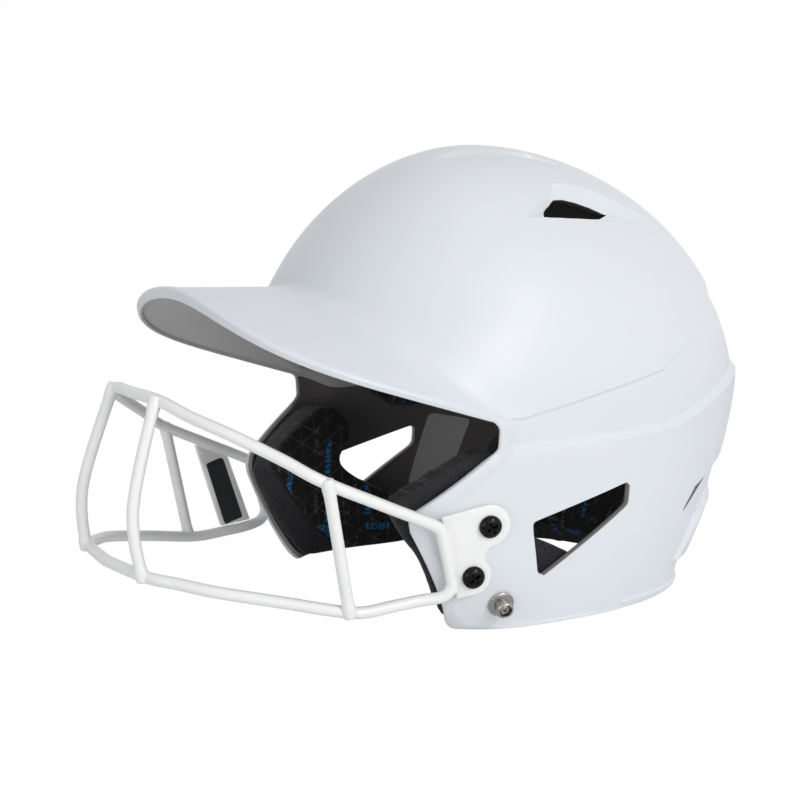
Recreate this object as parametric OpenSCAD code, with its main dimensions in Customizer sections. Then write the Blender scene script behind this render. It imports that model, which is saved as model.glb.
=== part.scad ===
// Batting helmet with a bolted wire face guard.
// Millimetres, +Z up, brim towards -Y, wearer's left at +X. The helmet stands on its bottom rim.
// Lengths forward or behind are taken from the crown axis, and points are [x, y, z] from its foot.

/* [Shell] */
// Half of the shell's width at its widest
shell_half_w = 100.5; // [92:0.5:110]
// From the crown axis to the foremost point of the dome
shell_front = 116; // [106:1:124]
// From the crown axis to the back of the head
shell_rear = 152; // [142:1:160]
// Height of the widest section above the bottom rim
waist_z = 101; // [96:1:106]
// Height of the dome above the widest section
dome_h = 124; // [112:1:134]
// Thickness of the moulded wall
wall = 3.5; // [2.5:0.25:4.5]
// Share of the half width that the bottom rim draws in
rim_tuck = 0.08; // [0.04:0.01:0.12]
// Share of the rear length that the nape draws in
nape_tuck = 0.31; // [0.2:0.01:0.36]

/* [Brim] */
// How far the brim's back ends lie inside the shell's half width
brim_inset = 0.5; // [0:0.25:2]
// From the back end of the rim to its tip
brim_reach = 118; // [100:1:126]
// Height of the brow, where the brim leaves the dome
brow_z = 157; // [150:1:164]
// Height of the rim's back ends
brim_end_z = 99.5; // [96:0.5:103]
// Rise of the rim towards the front, per millimetre
brim_slope = 0.31; // [0.25:0.01:0.36]
// Extra rise of the arched front
brim_arch = 18; // [10:1:22]
// Thickness of the rim bead at the tip
rim_tip_t = 5; // [4:0.25:6]

/* [Raised panels] */
// How far the crown panel stands proud of the side band
panel_step = 1.2; // [0.6:0.2:2]
// How far the bottom bead stands proud
bead_out = 0.9; // [0.4:0.1:1.5]
// Height of the bottom bead
bead_h = 4.5; // [3:0.5:6]
// How far the nape lip flares out at the back
lip_out = 3; // [1:0.5:4]

/* [Openings] */
// From the crown axis forward to the back edge of the face opening
face_back = 47.3; // [46.5:0.1:50]
// From the crown axis forward to the front of the cheek
cheek_front = 88.5; // [84:0.5:92]
// Height of the cheek's front corner
cheek_z = 57; // [52:0.5:62]
// From the crown axis forward to the foot of the flap's front edge
flap_foot = 62.5; // [58:0.5:66]
// Length of the ear hole
ear_hole_l = 57; // [50:1:60]
// Height of the ear hole at its front edge
ear_hole_h = 28.5; // [22:0.5:30]
// Corner radius of the ear hole
ear_hole_r = 2.5; // [1.5:0.5:4]
// Length of a crown scoop
scoop_l = 78; // [60:1:84]
// Width of a crown scoop at its front
scoop_w = 30; // [22:1:32]
// Depth of a crown scoop at its slot
scoop_deep = 7; // [5:0.5:9]
// Length of a rear slit
slit_l = 27; // [20:1:34]
// Width of a rear slit
slit_w = 4; // [3:0.25:6]

/* [Face guard] */
// Diameter of the guard's wire
wire_d = 5.5; // [5:0.25:7]
// Thickness of the sheet side plates
plate_t = 2; // [1.5:0.25:3]
// Radius of the plate's upper lobe
lobe_upper_r = 10; // [9:0.5:11]
// Radius of the plate's lower lobe
lobe_lower_r = 9; // [8:0.5:10]
// Length of the flat tab plate on the right side of the guard
tab_l = 20; // [14:1:26]

/* [Fasteners] */
// Guard screw thread diameter
screw_d = 5; // [4:0.5:6]
// Guard screw head diameter
screw_head_d = 10.5; // [9:0.5:12]
// Guard screw head height
screw_head_h = 3.4; // [2.5:0.1:4]
// Tee nut barrel diameter
nut_barrel_d = 6.8; // [6.4:0.1:8]
// Tee nut flange diameter
nut_flange_d = 15; // [12:0.5:17]
// Snap stud flange diameter
stud_flange_d = 12.4; // [10:0.2:14]
// Snap stud barrel diameter
stud_barrel_d = 8.6; // [7:0.2:9.4]
// Height of the snap stud barrel
stud_h = 6.6; // [5:0.2:8]

/* [Liner and pads] */
// Thickness of the stiff foam liner
liner_t = 8; // [6:0.5:10]
// Thickness of the comfort pads on the liner
pad_t = 9; // [6:0.5:11]
// Thickness of the ear pads
ear_pad_t = 14; // [10:0.5:16]
// Thickness of the nape pad
nape_pad_t = 12; // [8:0.5:14]
// Clearance between soft pieces and what carries them
seat_gap = 0.3; // [0.2:0.05:0.5]

/* [Hidden] */

// Exponents of the dome's profile and of the plan outline: front, rear and near the crown
dome_n = 1.9;
plan_front_n = 3.1;
plan_rear_n = 2.25;
plan_top_n = 2.15;
brim_n = 3;
front_tuck = 0.34;

// The guard's foremost surface and the shell's rearmost one set the crown axis, so that
// the origin lies under the middle of the whole
guard_reach = 199 + wire_d/2;
crown_y = (guard_reach - shell_rear)/2;

// Half of the brim's width where it meets the ear flaps
brim_half_w = shell_half_w - brim_inset;
// Azimuth of the brim's ends, from the front
brim_end_az = atan2(brim_half_w, face_back + 0.2);

function smooth(t) = let(c = min(1, max(0, t))) c*c*(3 - 2*c);
function mix(a, b, t) = a + (b - a)*t;
function unit(v) = v/norm(v);
function power(b, e) = b <= 0 ? 0 : pow(b, e);

// Half width, half length and exponent of the wall's plan outline at a height. grow offsets it.
function profile_k(z, grow) = let(u = min(1, max(0, (z - waist_z)/(dome_h + grow))))
    power(1 - power(u, dome_n), 1/dome_n);
function low(z) = min(1.2, max(0, (waist_z - z)/waist_z));
function half_w(z, grow) = (shell_half_w + grow)*profile_k(z, grow)*(1 - rim_tuck*pow(low(z), 5));
function half_l(z, grow, front) = profile_k(z, grow)*(front
    ? (shell_front + grow)*(1 - front_tuck*pow(low(z), 4.3))
    : (shell_rear + grow)*(1 - nape_tuck*pow(low(z), 1.5)));
function plan_n(z, front) = mix(front ? plan_front_n : plan_rear_n, plan_top_n, smooth((z - 100)/60));

// Radius of the wall from the crown axis at azimuth az, 0 at the front and 90 at the wearer's left
function wall_r(az, z, grow = 0) = let(
        front = cos(az) > 0,
        n = plan_n(z, front),
        a = max(0.001, half_w(z, grow)),
        l = max(0.001, half_l(z, grow, front)))
    1/pow(power(abs(sin(az))/a, n) + power(abs(cos(az))/l, n), 1/n);
function polar(r, az, z) = [r*sin(az), -r*cos(az), z];
function on_wall(az, z, grow = 0) = polar(wall_r(az, z, grow), az, z);

// The wall's outward direction at an azimuth and height
function wall_out(az, z) = unit(cross(on_wall(az + 1, z) - on_wall(az - 1, z),
    on_wall(az, z + 1) - on_wall(az, z - 1)));

// Points of the wall found from two of their coordinates, for pads and seats on a side
// and under the crown
function side_x(y, z, grow) = let(front = y < 0, n = plan_n(z, front), l = half_l(z, grow, front))
    half_w(z, grow)*power(1 - power(abs(y)/max(0.001, l), n), 1/n);
function crown_z(x, y, grow) = let(n = plan_top_n,
        l = (y < 0 ? shell_front : shell_rear) + grow,
        r = pow(power(abs(x)/(shell_half_w + grow), n) + power(abs(y)/l, n), 1/n))
    waist_z + (dome_h + grow)*power(1 - power(r, dome_n), 1/dome_n);

// Brow and upper step line, one curve round the helmet: its height by azimuth
line1_rear = [[brim_end_az, 103], [70, 101.5], [118, 118], [126, 125.5], [134, 136],
    [144, 147], [152, 150], [180, 152]];
function line1_z(az) = let(p = abs(az)) p < brim_end_az
    ? brow_z - (brow_z - line1_rear[0][1])*pow(p/brim_end_az, 1.9)
    : lookup(p, line1_rear);
// Lower step line
line2 = [[brim_end_az, 85.3], [100, 86.3], [122, 88.5], [141, 101], [152, 108], [180, 113]];
function line2_z(az) = lookup(abs(az), line2);
// The side band lies deeper towards the back
function band_depth(az) = let(p = abs(az)) p <= brim_end_az ? 0
    : panel_step*lookup(p, [[brim_end_az, 0], [68, 0.5], [110, 1], [180, 1.6]]);

// Rim of the brim by its own angle, from -90 at the wearer's right end to 90 at the left.
// The face opening trims its lower edge by rim_trim.
rim_trim = 1.2;
function rim_low(a) = let(
        x = brim_half_w*sign(sin(a))*power(abs(sin(a)), 2/brim_n),
        f = brim_reach*power(cos(a), 2/brim_n),
        w = 1 - pow(x/brim_half_w, 2))
    [x, -face_back - 0.2 - f, brim_end_z + brim_slope*f + brim_arch*w*w];
function rim_t(x) = 2.5 + (rim_tip_t - 2.5)*(1 - pow(x/brim_half_w, 2));

// Columns of the shell: [azimuth, angle on the rim or undef]
front_cols = 22;
side_cols = 34;
columns = concat(
    [for (i = [0:front_cols]) let(a = -90 + 180*i/front_cols, r = rim_low(a))
        [atan2(r[0], -r[1]), a]],
    [for (i = [1:side_cols - 1]) [mix(brim_end_az, 360 - brim_end_az, i/side_cols), undef]]);
n_col = len(columns);
dome_rows = 10;
wall_fracs = [0.8, 0.62, 0.45, 0.28];

function wrapped(az) = az > 180 ? az - 360 : az;

// One column of the outer surface, from the first ring under the crown to the bottom rim
function column_points(c) = let(
        az = c[0], w = wrapped(az), front = !is_undef(c[1]),
        zb = line1_z(w), z2 = line2_z(w), d = band_depth(w),
        low_edge = front ? rim_low(c[1]) : [0, 0, 0],
        rim = low_edge + [0, 0, rim_trim],
        tip = low_edge + [0, 0, rim_t(low_edge[0])],
        brow = on_wall(az, zb),
        soft = front ? 6 + 8*abs(w)/brim_end_az : 6,
        za = zb + soft,
        top = waist_z + dome_h,
        out = front ? mix(brow, tip, min(0.4, 8/norm(tip - brow))) : brow,
        upper = [for (i = [1:dome_rows])
            on_wall(az, za + (top - za)*power(cos(90*i/dome_rows), 2/dome_n))],
        blend = front ? (upper[dome_rows - 1] + 2*brow + out)/4 : on_wall(az, zb + soft/2),
        foot = on_wall(az, z2),
        band = function(t) front ? mix(rim, foot, t)
            : let(z = mix(zb - 1.2, z2 + 1.2, t)) polar(wall_r(az, z) - d, az, z),
        brim = front
            ? [mix(out, tip, 0.5), tip, rim, band(0.5), band(0.93)]
            : [band(0), band(0.25), band(0.5), band(0.75), band(1)],
        flare = lip_out*smooth((abs(w) - 105)/40),
        lower = [for (f = wall_fracs) on_wall(az, z2*f)],
        neck_z = bead_h + 5,
        neck = on_wall(az, neck_z),
        bead = function(z, g) polar(wall_r(az, z) + g, az, z),
        foot_rows = [neck, bead(bead_h + 0.8, flare*0.6), bead(bead_h, bead_out + flare*0.8),
            bead(0, bead_out + flare)])
    concat(upper, [blend, out], brim, [foot], lower, foot_rows);

outer_cols = [for (c = columns) column_points(c)];
n_row = len(outer_cols[0]);
crown_top = [0, 0, waist_z + dome_h];

// Inner surface: each point moved in by the wall along the surface's own normal. The two rows
// of the rim are kept in order where the rim is thinner than the wall.
function at_row(i, j) = i < 0 ? crown_top : outer_cols[(j + n_col) % n_col][min(i, n_row - 1)];
function moved_in(i, j) = let(
        n = unit(cross(at_row(i, j + 1) - at_row(i, j - 1), at_row(i + 1, j) - at_row(i - 1, j))))
    at_row(i, j) + n*wall;
tip_row = dome_rows + 3;
function inward(i, j) = let(q = moved_in(i, j), k = j % n_col)
    i == n_row - 1 ? [q[0], q[1], 0]
    : k > front_cols || (i != tip_row && i != tip_row + 1) ? q
    : let(a = moved_in(tip_row, j), b = moved_in(tip_row + 1, j),
            u = unit(at_row(tip_row, j) - at_row(tip_row + 1, j)), gap = (a - b)*u)
        gap > 0.4 ? q : (a + b)/2 + u*(i == tip_row ? 0.2 : -0.2);

// Faces of a closed solid whose rings run from one pole to the other
function ring_faces(rings, n) = concat(
    [for (j = [0:n - 1]) [0, 1 + (j + 1) % n, 1 + j]],
    [for (i = [0:rings - 2], j = [0:n - 1]) let(a = 1 + i*n + j, b = 1 + i*n + (j + 1) % n)
        each [[a, b, b + n], [a, b + n, a + n]]],
    [for (j = [0:n - 1]) let(a = 1 + (rings - 1)*n) [a + j, a + (j + 1) % n, 1 + rings*n]]);
module ring_solid(first, rings, last) {
    n = len(rings[0]);
    polyhedron(concat([first], [for (r = rings) each r], [last]), ring_faces(len(rings), n));
}

// Polygon with rounded corners, as arcs of n steps. A corner may give its own radius as a third value.
function corner(before, p, after, r, n) = let(
        a = unit(before - p), b = unit(after - p), half = acos(a*b)/2,
        c = p + unit(a + b)*r/sin(half),
        from = p + a*r/tan(half) - c, to = p + b*r/tan(half) - c,
        a0 = atan2(from[1], from[0]), d = atan2(to[1], to[0]) - a0,
        turn = d > 180 ? d - 360 : d < -180 ? d + 360 : d)
    [for (k = [0:n]) c + r*[cos(a0 + turn*k/n), sin(a0 + turn*k/n)]];
function flat(p) = [p[0], p[1]];
function rounded(points, r, n = 5) = let(m = len(points)) [for (i = [0:m - 1]) let(
        p = flat(points[i]), own = is_undef(points[i][2]) ? r : points[i][2])
    each own == 0 ? [p]
        : corner(flat(points[(i + m - 1) % m]), p, flat(points[(i + 1) % m]), own, n)];

module from_crown() translate([0, crown_y, 0]) children();
module both_sides() { children(); mirror([1, 0, 0]) children(); }
// A side view outline, drawn as [y, z], cut or laid across the helmet from x0 to x1
module across(outline, x0, x1) translate([x0, 0, 0]) rotate([90, 0, 90])
    linear_extrude(x1 - x0) polygon(outline);

// Where the guard is bolted on: a flat seat that leans forward and down, upper screw at its origin
seat_turn = 14;
seat_lean = 6;
seat_y = -53.5;
seat_z = 53.6;
seat_out = 0.8;
screw_gap = [7.1, -23.7];
seat_x = side_x(seat_y, seat_z, seat_out);
// Seat frame: local +X towards the front, +Y up, +Z away from the head
module guard_seat() translate([seat_x, seat_y, seat_z])
    rotate([0, 0, -seat_turn]) rotate([0, seat_lean, 0]) rotate([90, 0, 90]) mirror([1, 0, 0])
        children();
function turn_z(p, a) = [p[0]*cos(a) - p[1]*sin(a), p[0]*sin(a) + p[1]*cos(a), p[2]];
function turn_y(p, a) = [p[0]*cos(a) + p[2]*sin(a), p[1], -p[0]*sin(a) + p[2]*cos(a)];
function seat_point(p) = [seat_x, seat_y, seat_z]
    + turn_z(turn_y([p[2], -p[0], p[1]], seat_lean), -seat_turn);
screws = [[0, 0], screw_gap];
nut_back = wall + 1.6;
nut_boss_d = nut_flange_d + 1.6;
snap_boss_d = stud_flange_d + 1.5;

// Snap stud seat, low on the flap
snap_turn = 12.5;
snap_lean = 18;
snap_y = -43.8;
snap_z = 14.5;
snap_out = 0.5;
snap_x = side_x(snap_y, snap_z, snap_out);
module snap_seat() translate([snap_x, snap_y, snap_z])
    rotate([0, 0, -snap_turn]) rotate([0, snap_lean, 0]) rotate([0, 90, 0]) children();

// Outline of the face opening in side view. Its top runs just under the rim.
rim_steps = 14;
rim_side = [for (i = [0:rim_steps]) let(p = rim_low(87 - 87*i/rim_steps)) [p[1], p[2]]];
function face_outline() = concat(
    rounded([[-face_back, brim_end_z - 1, 0], [-face_back, 87, 5], [-cheek_front, cheek_z, 8],
        [-flap_foot, 1, 7], [-flap_foot + 18, -14, 0], [-face_back, -40, 0], [-260, -40, 0]], 0, 4),
    [[-260, rim_side[rim_steps][1]]], [for (i = [rim_steps:-1:0]) rim_side[i]]);

// Ear hole in side view
ear_front = -30.4;
ear_top = 52.3;
function ear_outline() = let(e = ear_front, t = ear_top, l = ear_hole_l)
    rounded([[e, t], [e + 5, t - ear_hole_h], [e + l, t + 2], [e + l + 1.3, t + 14]], ear_hole_r, 3);

// Crown scoop in plan, pointing back, and its pocket under the surface
scoop_x = 66;
scoop_y = -11;
function scoop_plan() = [[scoop_x, scoop_y], [scoop_x - scoop_w*0.57, scoop_y + scoop_w*0.9],
    [scoop_x - scoop_w*0.5, scoop_y + scoop_l*0.85], [scoop_x - scoop_w*0.53, scoop_y + scoop_l*1.36],
    [scoop_x - scoop_w*0.2, scoop_y + scoop_l*0.95], [scoop_x + 1, scoop_y + scoop_l*0.45]];
function under(p, depth) = [p[0], p[1], crown_z(p[0], p[1], 0) - depth];
scoop_floor = [[scoop_x - 2, scoop_y + 10], [scoop_x - 9, scoop_y + 21],
    [scoop_x - 4, scoop_y + 50], [scoop_x - 1, scoop_y + 32]];
module scoop_shroud() hull() for (p = scoop_plan()) {
    translate(under(p, wall*1.2)) cube(0.4, center = true);
    translate(under(mix(p, [scoop_x - 6, scoop_y + 30], 0.45), scoop_deep*1.6)) cube(2, center = true);
}
module scoop_pocket() hull() {
    for (p = scoop_plan()) translate(under(p, 0)) cube(0.4, center = true);
    for (p = scoop_plan()) translate(under(p, -8)) cube(0.4, center = true);
    for (p = scoop_floor) translate(under(p, scoop_deep)) cube(0.4, center = true);
}
module scoop_slot() translate([0, 0, 150]) linear_extrude(100)
    polygon(rounded(scoop_floor, 1, 3));

// Rear slit in side view: a blade that rises backwards from its foot low behind the ear
slit_y = 68.5;
slit_z = 42.8;
slit_rise = 33.5;
function slit_outline() = [for (q = [[0, 0], [0.25, 0.36], [0.6, 0.95], [1, 0], [0.69, 0.1]])
    let(a = q[0]*slit_l, b = q[1]*slit_w)
    [slit_y + a*cos(slit_rise) - b*sin(slit_rise), slit_z + a*sin(slit_rise) + b*cos(slit_rise)]];

module shell_sheet() ring_solid(crown_top,
    concat([for (i = [0:n_row - 1]) [for (j = [0:n_col - 1]) at_row(i, j)]],
        [for (i = [n_row - 1:-1:0]) [for (j = [0:n_col - 1]) inward(i, j)]]),
    crown_top - [0, 0, wall]);

// The sheet with its bosses and openings, worked out whole and held to its exact height
module pierced_sheet() resize([0, 0, waist_z + dome_h]) difference() {
    union() {
        shell_sheet();
        both_sides() {
            guard_seat() for (s = screws) translate([s[0], s[1], -nut_back - 1])
                cylinder(d = nut_boss_d, h = nut_back + 1, $fn = 32);
            snap_seat() translate([0, 0, -nut_back - 1])
                cylinder(d = snap_boss_d, h = nut_back + 1, $fn = 32);
            scoop_shroud();
        }
    }
    across(face_outline(), -140, 140);
    across(ear_outline(), -140, 140);
    both_sides() {
        scoop_pocket();
        scoop_slot();
        across(slit_outline(), 50, 140);
        guard_seat() for (s = screws) translate([s[0], s[1], -nut_back - 10])
            cylinder(d = nut_boss_d + 0.8, h = 10, $fn = 32);
        snap_seat() translate([0, 0, -nut_back - 10]) cylinder(d = snap_boss_d + 0.8, h = 10, $fn = 32);
    }
}
module outer_shell() color("white") from_crown() difference() {
    pierced_sheet();
    both_sides() {
        guard_seat() for (s = screws) translate([s[0], s[1], -20])
            cylinder(d = nut_barrel_d + 0.4, h = 40, $fn = 32);
        snap_seat() translate([0, 0, -20]) cylinder(d = snap_screw_d + 0.4, h = 40, $fn = 32);
    }
}

// Smooth path through chosen points, n steps between each two
function path(p, n) = concat([for (i = [0:len(p) - 2], k = [0:n - 1]) let(
        t = k/n, a = p[max(0, i - 1)], b = p[i], c = p[i + 1], d = p[min(len(p) - 1, i + 2)])
    (2*b + (c - a)*t + (2*a - 5*b + 4*c - d)*t*t + (3*b - a - 3*c + d)*t*t*t)/2], [p[len(p) - 1]]);
function reversed(p) = [for (i = [len(p) - 1:-1:0]) p[i]];
function flipped(p) = [for (q = p) [-q[0], q[1], q[2]]];
// Where a path crosses a value of coordinate k: the point and the direction there
function crossing(p, k, v) = let(
        i = [for (i = [0:len(p) - 2]) if ((p[i][k] - v)*(p[i + 1][k] - v) <= 0) i][0],
        t = (v - p[i][k])/(p[i + 1][k] - p[i][k]))
    [mix(p[i], p[i + 1], t), unit(p[i + 1] - p[i])];

// Wire swept along a path. An end is cut square, or along the plane with the given normal.
wire_sides = 10;
module wire(p, d, first_cut, last_cut) {
    m = len(p);
    along = [for (i = [0:m - 1]) unit(p[min(m - 1, i + 1)] - p[max(0, i - 1)])];
    ring = function(i, cut) let(
            side = unit(cross(along[i], [p[i][0], p[i][1], 0])), out = cross(side, along[i]))
        [for (k = [0:wire_sides - 1]) let(a = 360*k/wire_sides, q = (side*cos(a) + out*sin(a))*d/2)
            p[i] + q - along[i]*(is_undef(cut) ? 0 : (q*cut)/(along[i]*cut))];
    rings = concat([ring(0, first_cut)], [for (i = [1:m - 2]) ring(i)], [ring(m - 1, last_cut)]);
    ring_solid(p[0], rings, p[m - 1]);
}

// The guard's wires on the wearer's left, from the middle of the face back to the plates.
// wire_out is how far the wire's centre stands off the plate's seat.
wire_out = 3.5;
weld_gap = 0.3;
plate_run = [for (q = [[25.7, 2], [23.4, -2], [20.2, -14.5], [17.4, -26.5]])
    seat_point([q[0], q[1], wire_out])];
// The bars' points were read at a half width of 100.5, a reach of 201.75 and a seat height of 53.6,
// and move with the shell's width, the guard's reach and the height of its seat
guard_grow = [shell_half_w/100.5, guard_reach/201.75, seat_z/53.6];
function grown(list) = [for (p = list) [for (k = [0:2]) p[k]*guard_grow[k]]];
upper_half = grown([[0, -184.45, 112], [26, -181.55, 111], [43.4, -175.05, 105.7],
    [61, -164.05, 99.4], [77, -147.05, 89.2], [87, -133.05, 80], [91.5, -103.8, 66.5]]);
lower_half = grown([[0, -199, 35], [35, -194.05, 34.3], [50.2, -184.05, 33], [62, -172.75, 30.7],
    [74.5, -146.75, 25.3], [86, -117, 19], [87.5, -99, 19.5], [88.7, -84.5, 20.5]]);
lower_turn = [seat_point([20.6, -31.5, wire_out])];
upper_left = path(concat(upper_half, plate_run), 2);
lower_left = path(concat(lower_half, lower_turn), 2);
function whole(half) = concat(reversed(flipped([for (i = [1:len(half) - 1]) half[i]])), half);
// The lower wire's ends are bent up to meet the upper wire's, a weld's gap short of them,
// and both are cut along the plane that halves the bend
lower_end = concat(lower_left, [mix(lower_turn[0], plate_run[3], 0.6),
    plate_run[3] + unit(lower_turn[0] - plate_run[3])*weld_gap]);
end_cut = unit(unit(plate_run[3] - plate_run[2]) + unit(lower_turn[0] - plate_run[3]));
module whole_wire(half) wire(whole(half), wire_d, flipped([end_cut])[0], end_cut);
module guard_upper_wire() color("white") from_crown() whole_wire(upper_left);
module guard_lower_wire() color("white") from_crown() whole_wire(lower_end);

// Uprights stand between the bars and butt against both, a weld's gap clear of them,
// with their ends cut along the bars. They stand a little outside the bars' middle.
weld_out = 1.5;
function bar_seat(bar, k, v, down) = let(c = crossing(bar, k, v), out = unit(cross(c[1], [0, 0, 1])),
        m = unit(cross(out, c[1])))
    [c[0] + out*weld_out - m*(down ? 1 : -1)*(wire_d/2 + weld_gap), m];
upright_top_x = 25*guard_grow[0];
upright_low_x = 35*guard_grow[0];
upright_bulge = 7;
side_upright_y = -131;
side_upright_low_y = -119;
module upright(a, b, bulge) wire(path([a[0], mix(a[0], b[0], 0.6) + [0, -bulge, 0], b[0]], 4),
    wire_d, a[1], b[1]);
module centre_upright() upright(bar_seat(upper_left, 0, upright_top_x, true),
    bar_seat(lower_left, 0, upright_low_x, false), upright_bulge);
module side_upright() upright(bar_seat(upper_left, 1, side_upright_y, true),
    bar_seat(lower_left, 1, side_upright_low_y, false), 0);
module guard_centre_upright_left() color("white") from_crown() centre_upright();
module guard_centre_upright_right() color("white") from_crown() mirror([1, 0, 0]) centre_upright();
module guard_side_upright_left() color("white") from_crown() side_upright();
module guard_side_upright_right() color("white") from_crown() mirror([1, 0, 0]) side_upright();

// Side plate: two lobes round the screws, a neck between them, and a front edge welded to the wire.
// It is one outline of arcs and straight edges, drawn forward and up from the upper screw.
function arc(c, r, from, to, n) = [for (k = [0:n]) c + r*[cos(mix(from, to, k/n)), sin(mix(from, to, k/n))]];
function heading(v) = atan2(v[1], v[0]);
neck_r = 5;
plate_low = -33.9;
plate_high = 5.6;
function plate_front(y) = [lookup(y, [[-45, 16.2], [-27, 16.9], [-14.5, 20.2], [-2, 23.6], [12, 26.4]])
    - wire_d/2 - weld_gap, y];
function plate_outline() = let(
        d = norm(screw_gap), r1 = lobe_upper_r + neck_r, r2 = lobe_lower_r + neck_r,
        t = (d*d + r1*r1 - r2*r2)/(2*d), u = screw_gap/d,
        neck = t*u + sqrt(r1*r1 - t*t)*[u[1], -u[0]],
        high = plate_front(plate_high), foot = plate_front(plate_low),
        top = heading(high) + acos(lobe_upper_r/norm(high)),
        low = heading(foot - screw_gap) - acos(lobe_lower_r/norm(foot - screw_gap)),
        to_neck = heading(neck), from_neck = heading(neck - screw_gap))
    concat(
        arc([0, 0], lobe_upper_r, top, to_neck + 360, 20),
        [for (k = [1:7]) neck + neck_r*[cos(mix(to_neck + 180, from_neck - 180, k/8)),
            sin(mix(to_neck + 180, from_neck - 180, k/8))]],
        arc(screw_gap, lobe_lower_r, from_neck, low + 360, 14),
        [foot, plate_front(-27), plate_front(-14.5), plate_front(-2), high]);
module side_plate() guard_seat() difference() {
    linear_extrude(plate_t) polygon(plate_outline());
    for (s = screws) translate([s[0], s[1], -1]) cylinder(d = screw_d + 0.5, h = plate_t + 2, $fn = 48);
}
module guard_plate_left() color("white") from_crown() side_plate();
module guard_plate_right() color("white") from_crown() mirror([1, 0, 0]) side_plate();

// Flat tab plate that fills the corner between the bars on the wearer's right
tab_front_y = -114;
module guard_tab_plate() color("white") from_crown() mirror([1, 0, 0]) {
    drop = [0, 0, wire_d/2 + weld_gap + 0.3];
    a = crossing(upper_left, 1, tab_front_y)[0] - drop;
    b = crossing(upper_left, 1, tab_front_y + tab_l)[0] - drop;
    c = crossing(lower_left, 1, tab_front_y + tab_l + 11)[0] + drop;
    d = crossing(lower_left, 1, tab_front_y + 13)[0] + drop;
    half = [plate_t/2, 0, 0];
    hull() polyhedron([a + half, b + half, c + half, d + half, a - half, b - half, c - half, d - half],
        [[0, 1, 2, 3], [7, 6, 5, 4], [0, 4, 5, 1], [1, 5, 6, 2], [2, 6, 7, 3], [3, 7, 4, 0]]);
}

// Cross recess of a screw head, down from the origin
module cross_recess(size, width, deep) for (a = [0, 90]) rotate(a)
    translate([-size/2, -width/2, -deep]) cube([size, width, deep + 1]);

// Pan head screws through plate, shell and tee nut
nut_flange_t = 1.2;
module guard_screws() color("black") from_crown() both_sides() guard_seat()
    for (s = screws) translate([s[0], s[1], plate_t]) {
        difference() {
            rotate_extrude($fn = 48) polygon([[0, 0], [screw_head_d/2, 0],
                [screw_head_d/2, screw_head_h*0.45],
                for (a = [15:15:90]) [screw_head_d/2 - screw_head_h*0.55*(1 - cos(a)) - a/90*1.6,
                    screw_head_h*(0.45 + 0.55*sin(a))],
                [0, screw_head_h]]);
            translate([0, 0, screw_head_h]) rotate(20) cross_recess(screw_head_d*0.5, 1.1, 1.8);
        }
        translate([0, 0, -plate_t - nut_back - nut_flange_t - 0.6])
            cylinder(d = screw_d, h = plate_t + nut_back + nut_flange_t + 0.6, $fn = 32);
    }
module guard_tee_nuts() color("silver") from_crown() both_sides() guard_seat()
    for (s = screws) translate([s[0], s[1], -nut_back - nut_flange_t]) difference() {
        union() {
            cylinder(d = nut_flange_d, h = nut_flange_t, $fn = 48);
            cylinder(d = nut_barrel_d, h = nut_flange_t + nut_back - 0.4, $fn = 32);
        }
        translate([0, 0, -1]) cylinder(d = screw_d + 0.2, h = nut_back + 10, $fn = 32);
    }

// Chin strap snap studs. A screw in the stud's bore holds each, with a washer and a nut inside.
snap_screw_d = 3.5;
snap_head_d = 5.4;
snap_head_h = 1.5;
snap_bore_d = 6;
snap_bore_deep = 2.4;
snap_nut_w = 7;
snap_nut_t = 2.6;
snap_washer_t = 0.8;
module snap_studs() color("silver") from_crown() both_sides() snap_seat()
    rotate_extrude($fn = 64) polygon([[snap_screw_d/2 + 0.1, 0], [stud_flange_d/2, 0], [stud_flange_d/2, 0.8],
        [stud_flange_d/2 - 0.6, 1.3], [stud_barrel_d/2 - 0.7, 1.6], [stud_barrel_d/2 - 0.7, stud_h*0.5],
        [stud_barrel_d/2, stud_h*0.62], [stud_barrel_d/2, stud_h*0.82],
        [stud_barrel_d/2 - 0.6, stud_h], [snap_bore_d/2, stud_h],
        [snap_bore_d/2, stud_h - snap_bore_deep], [snap_screw_d/2 + 0.1, stud_h - snap_bore_deep]]);
module snap_screws() color("silver") from_crown() both_sides() snap_seat() {
    shank = nut_back + snap_washer_t + snap_nut_t + 0.6 + stud_h - snap_bore_deep;
    translate([0, 0, stud_h - snap_bore_deep]) {
        difference() {
            cylinder(d1 = snap_head_d, d2 = snap_head_d - 0.8, h = snap_head_h, $fn = 48);
            translate([0, 0, snap_head_h]) cross_recess(3, 0.7, 1);
        }
        translate([0, 0, -shank]) cylinder(d = snap_screw_d, h = shank, $fn = 32);
    }
}
module snap_washers() color("silver") from_crown() both_sides() snap_seat()
    translate([0, 0, -nut_back - snap_washer_t]) difference() {
        cylinder(d = stud_flange_d - 1, h = snap_washer_t, $fn = 48);
        translate([0, 0, -1]) cylinder(d = snap_screw_d + 0.4, h = 3, $fn = 32);
    }
module snap_nuts() color("silver") from_crown() both_sides() snap_seat()
    translate([0, 0, -nut_back - snap_washer_t - snap_nut_t]) difference() {
        cylinder(d = snap_nut_w/cos(30), h = snap_nut_t, $fn = 6);
        translate([0, 0, -1]) cylinder(d = snap_screw_d + 0.2, h = snap_nut_t + 2, $fn = 32);
    }

// A point of a soft piece at depth d under the outer surface, from its drawing's two coordinates:
// [y, z] on a side, [x, y] under the crown, [azimuth, z] on any wall
function soft_point(kind, q, d) = kind == "crown" ? [q[0], q[1], crown_z(q[0], q[1], -d)]
    : kind == "wall" ? on_wall(q[0], q[1]) - wall_out(q[0], q[1])*d
    : let(x = side_x(q[0], q[1], 0)) [x - d/wall_out(atan2(x, -q[0]), q[1])[0], q[0], q[1]];
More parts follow.
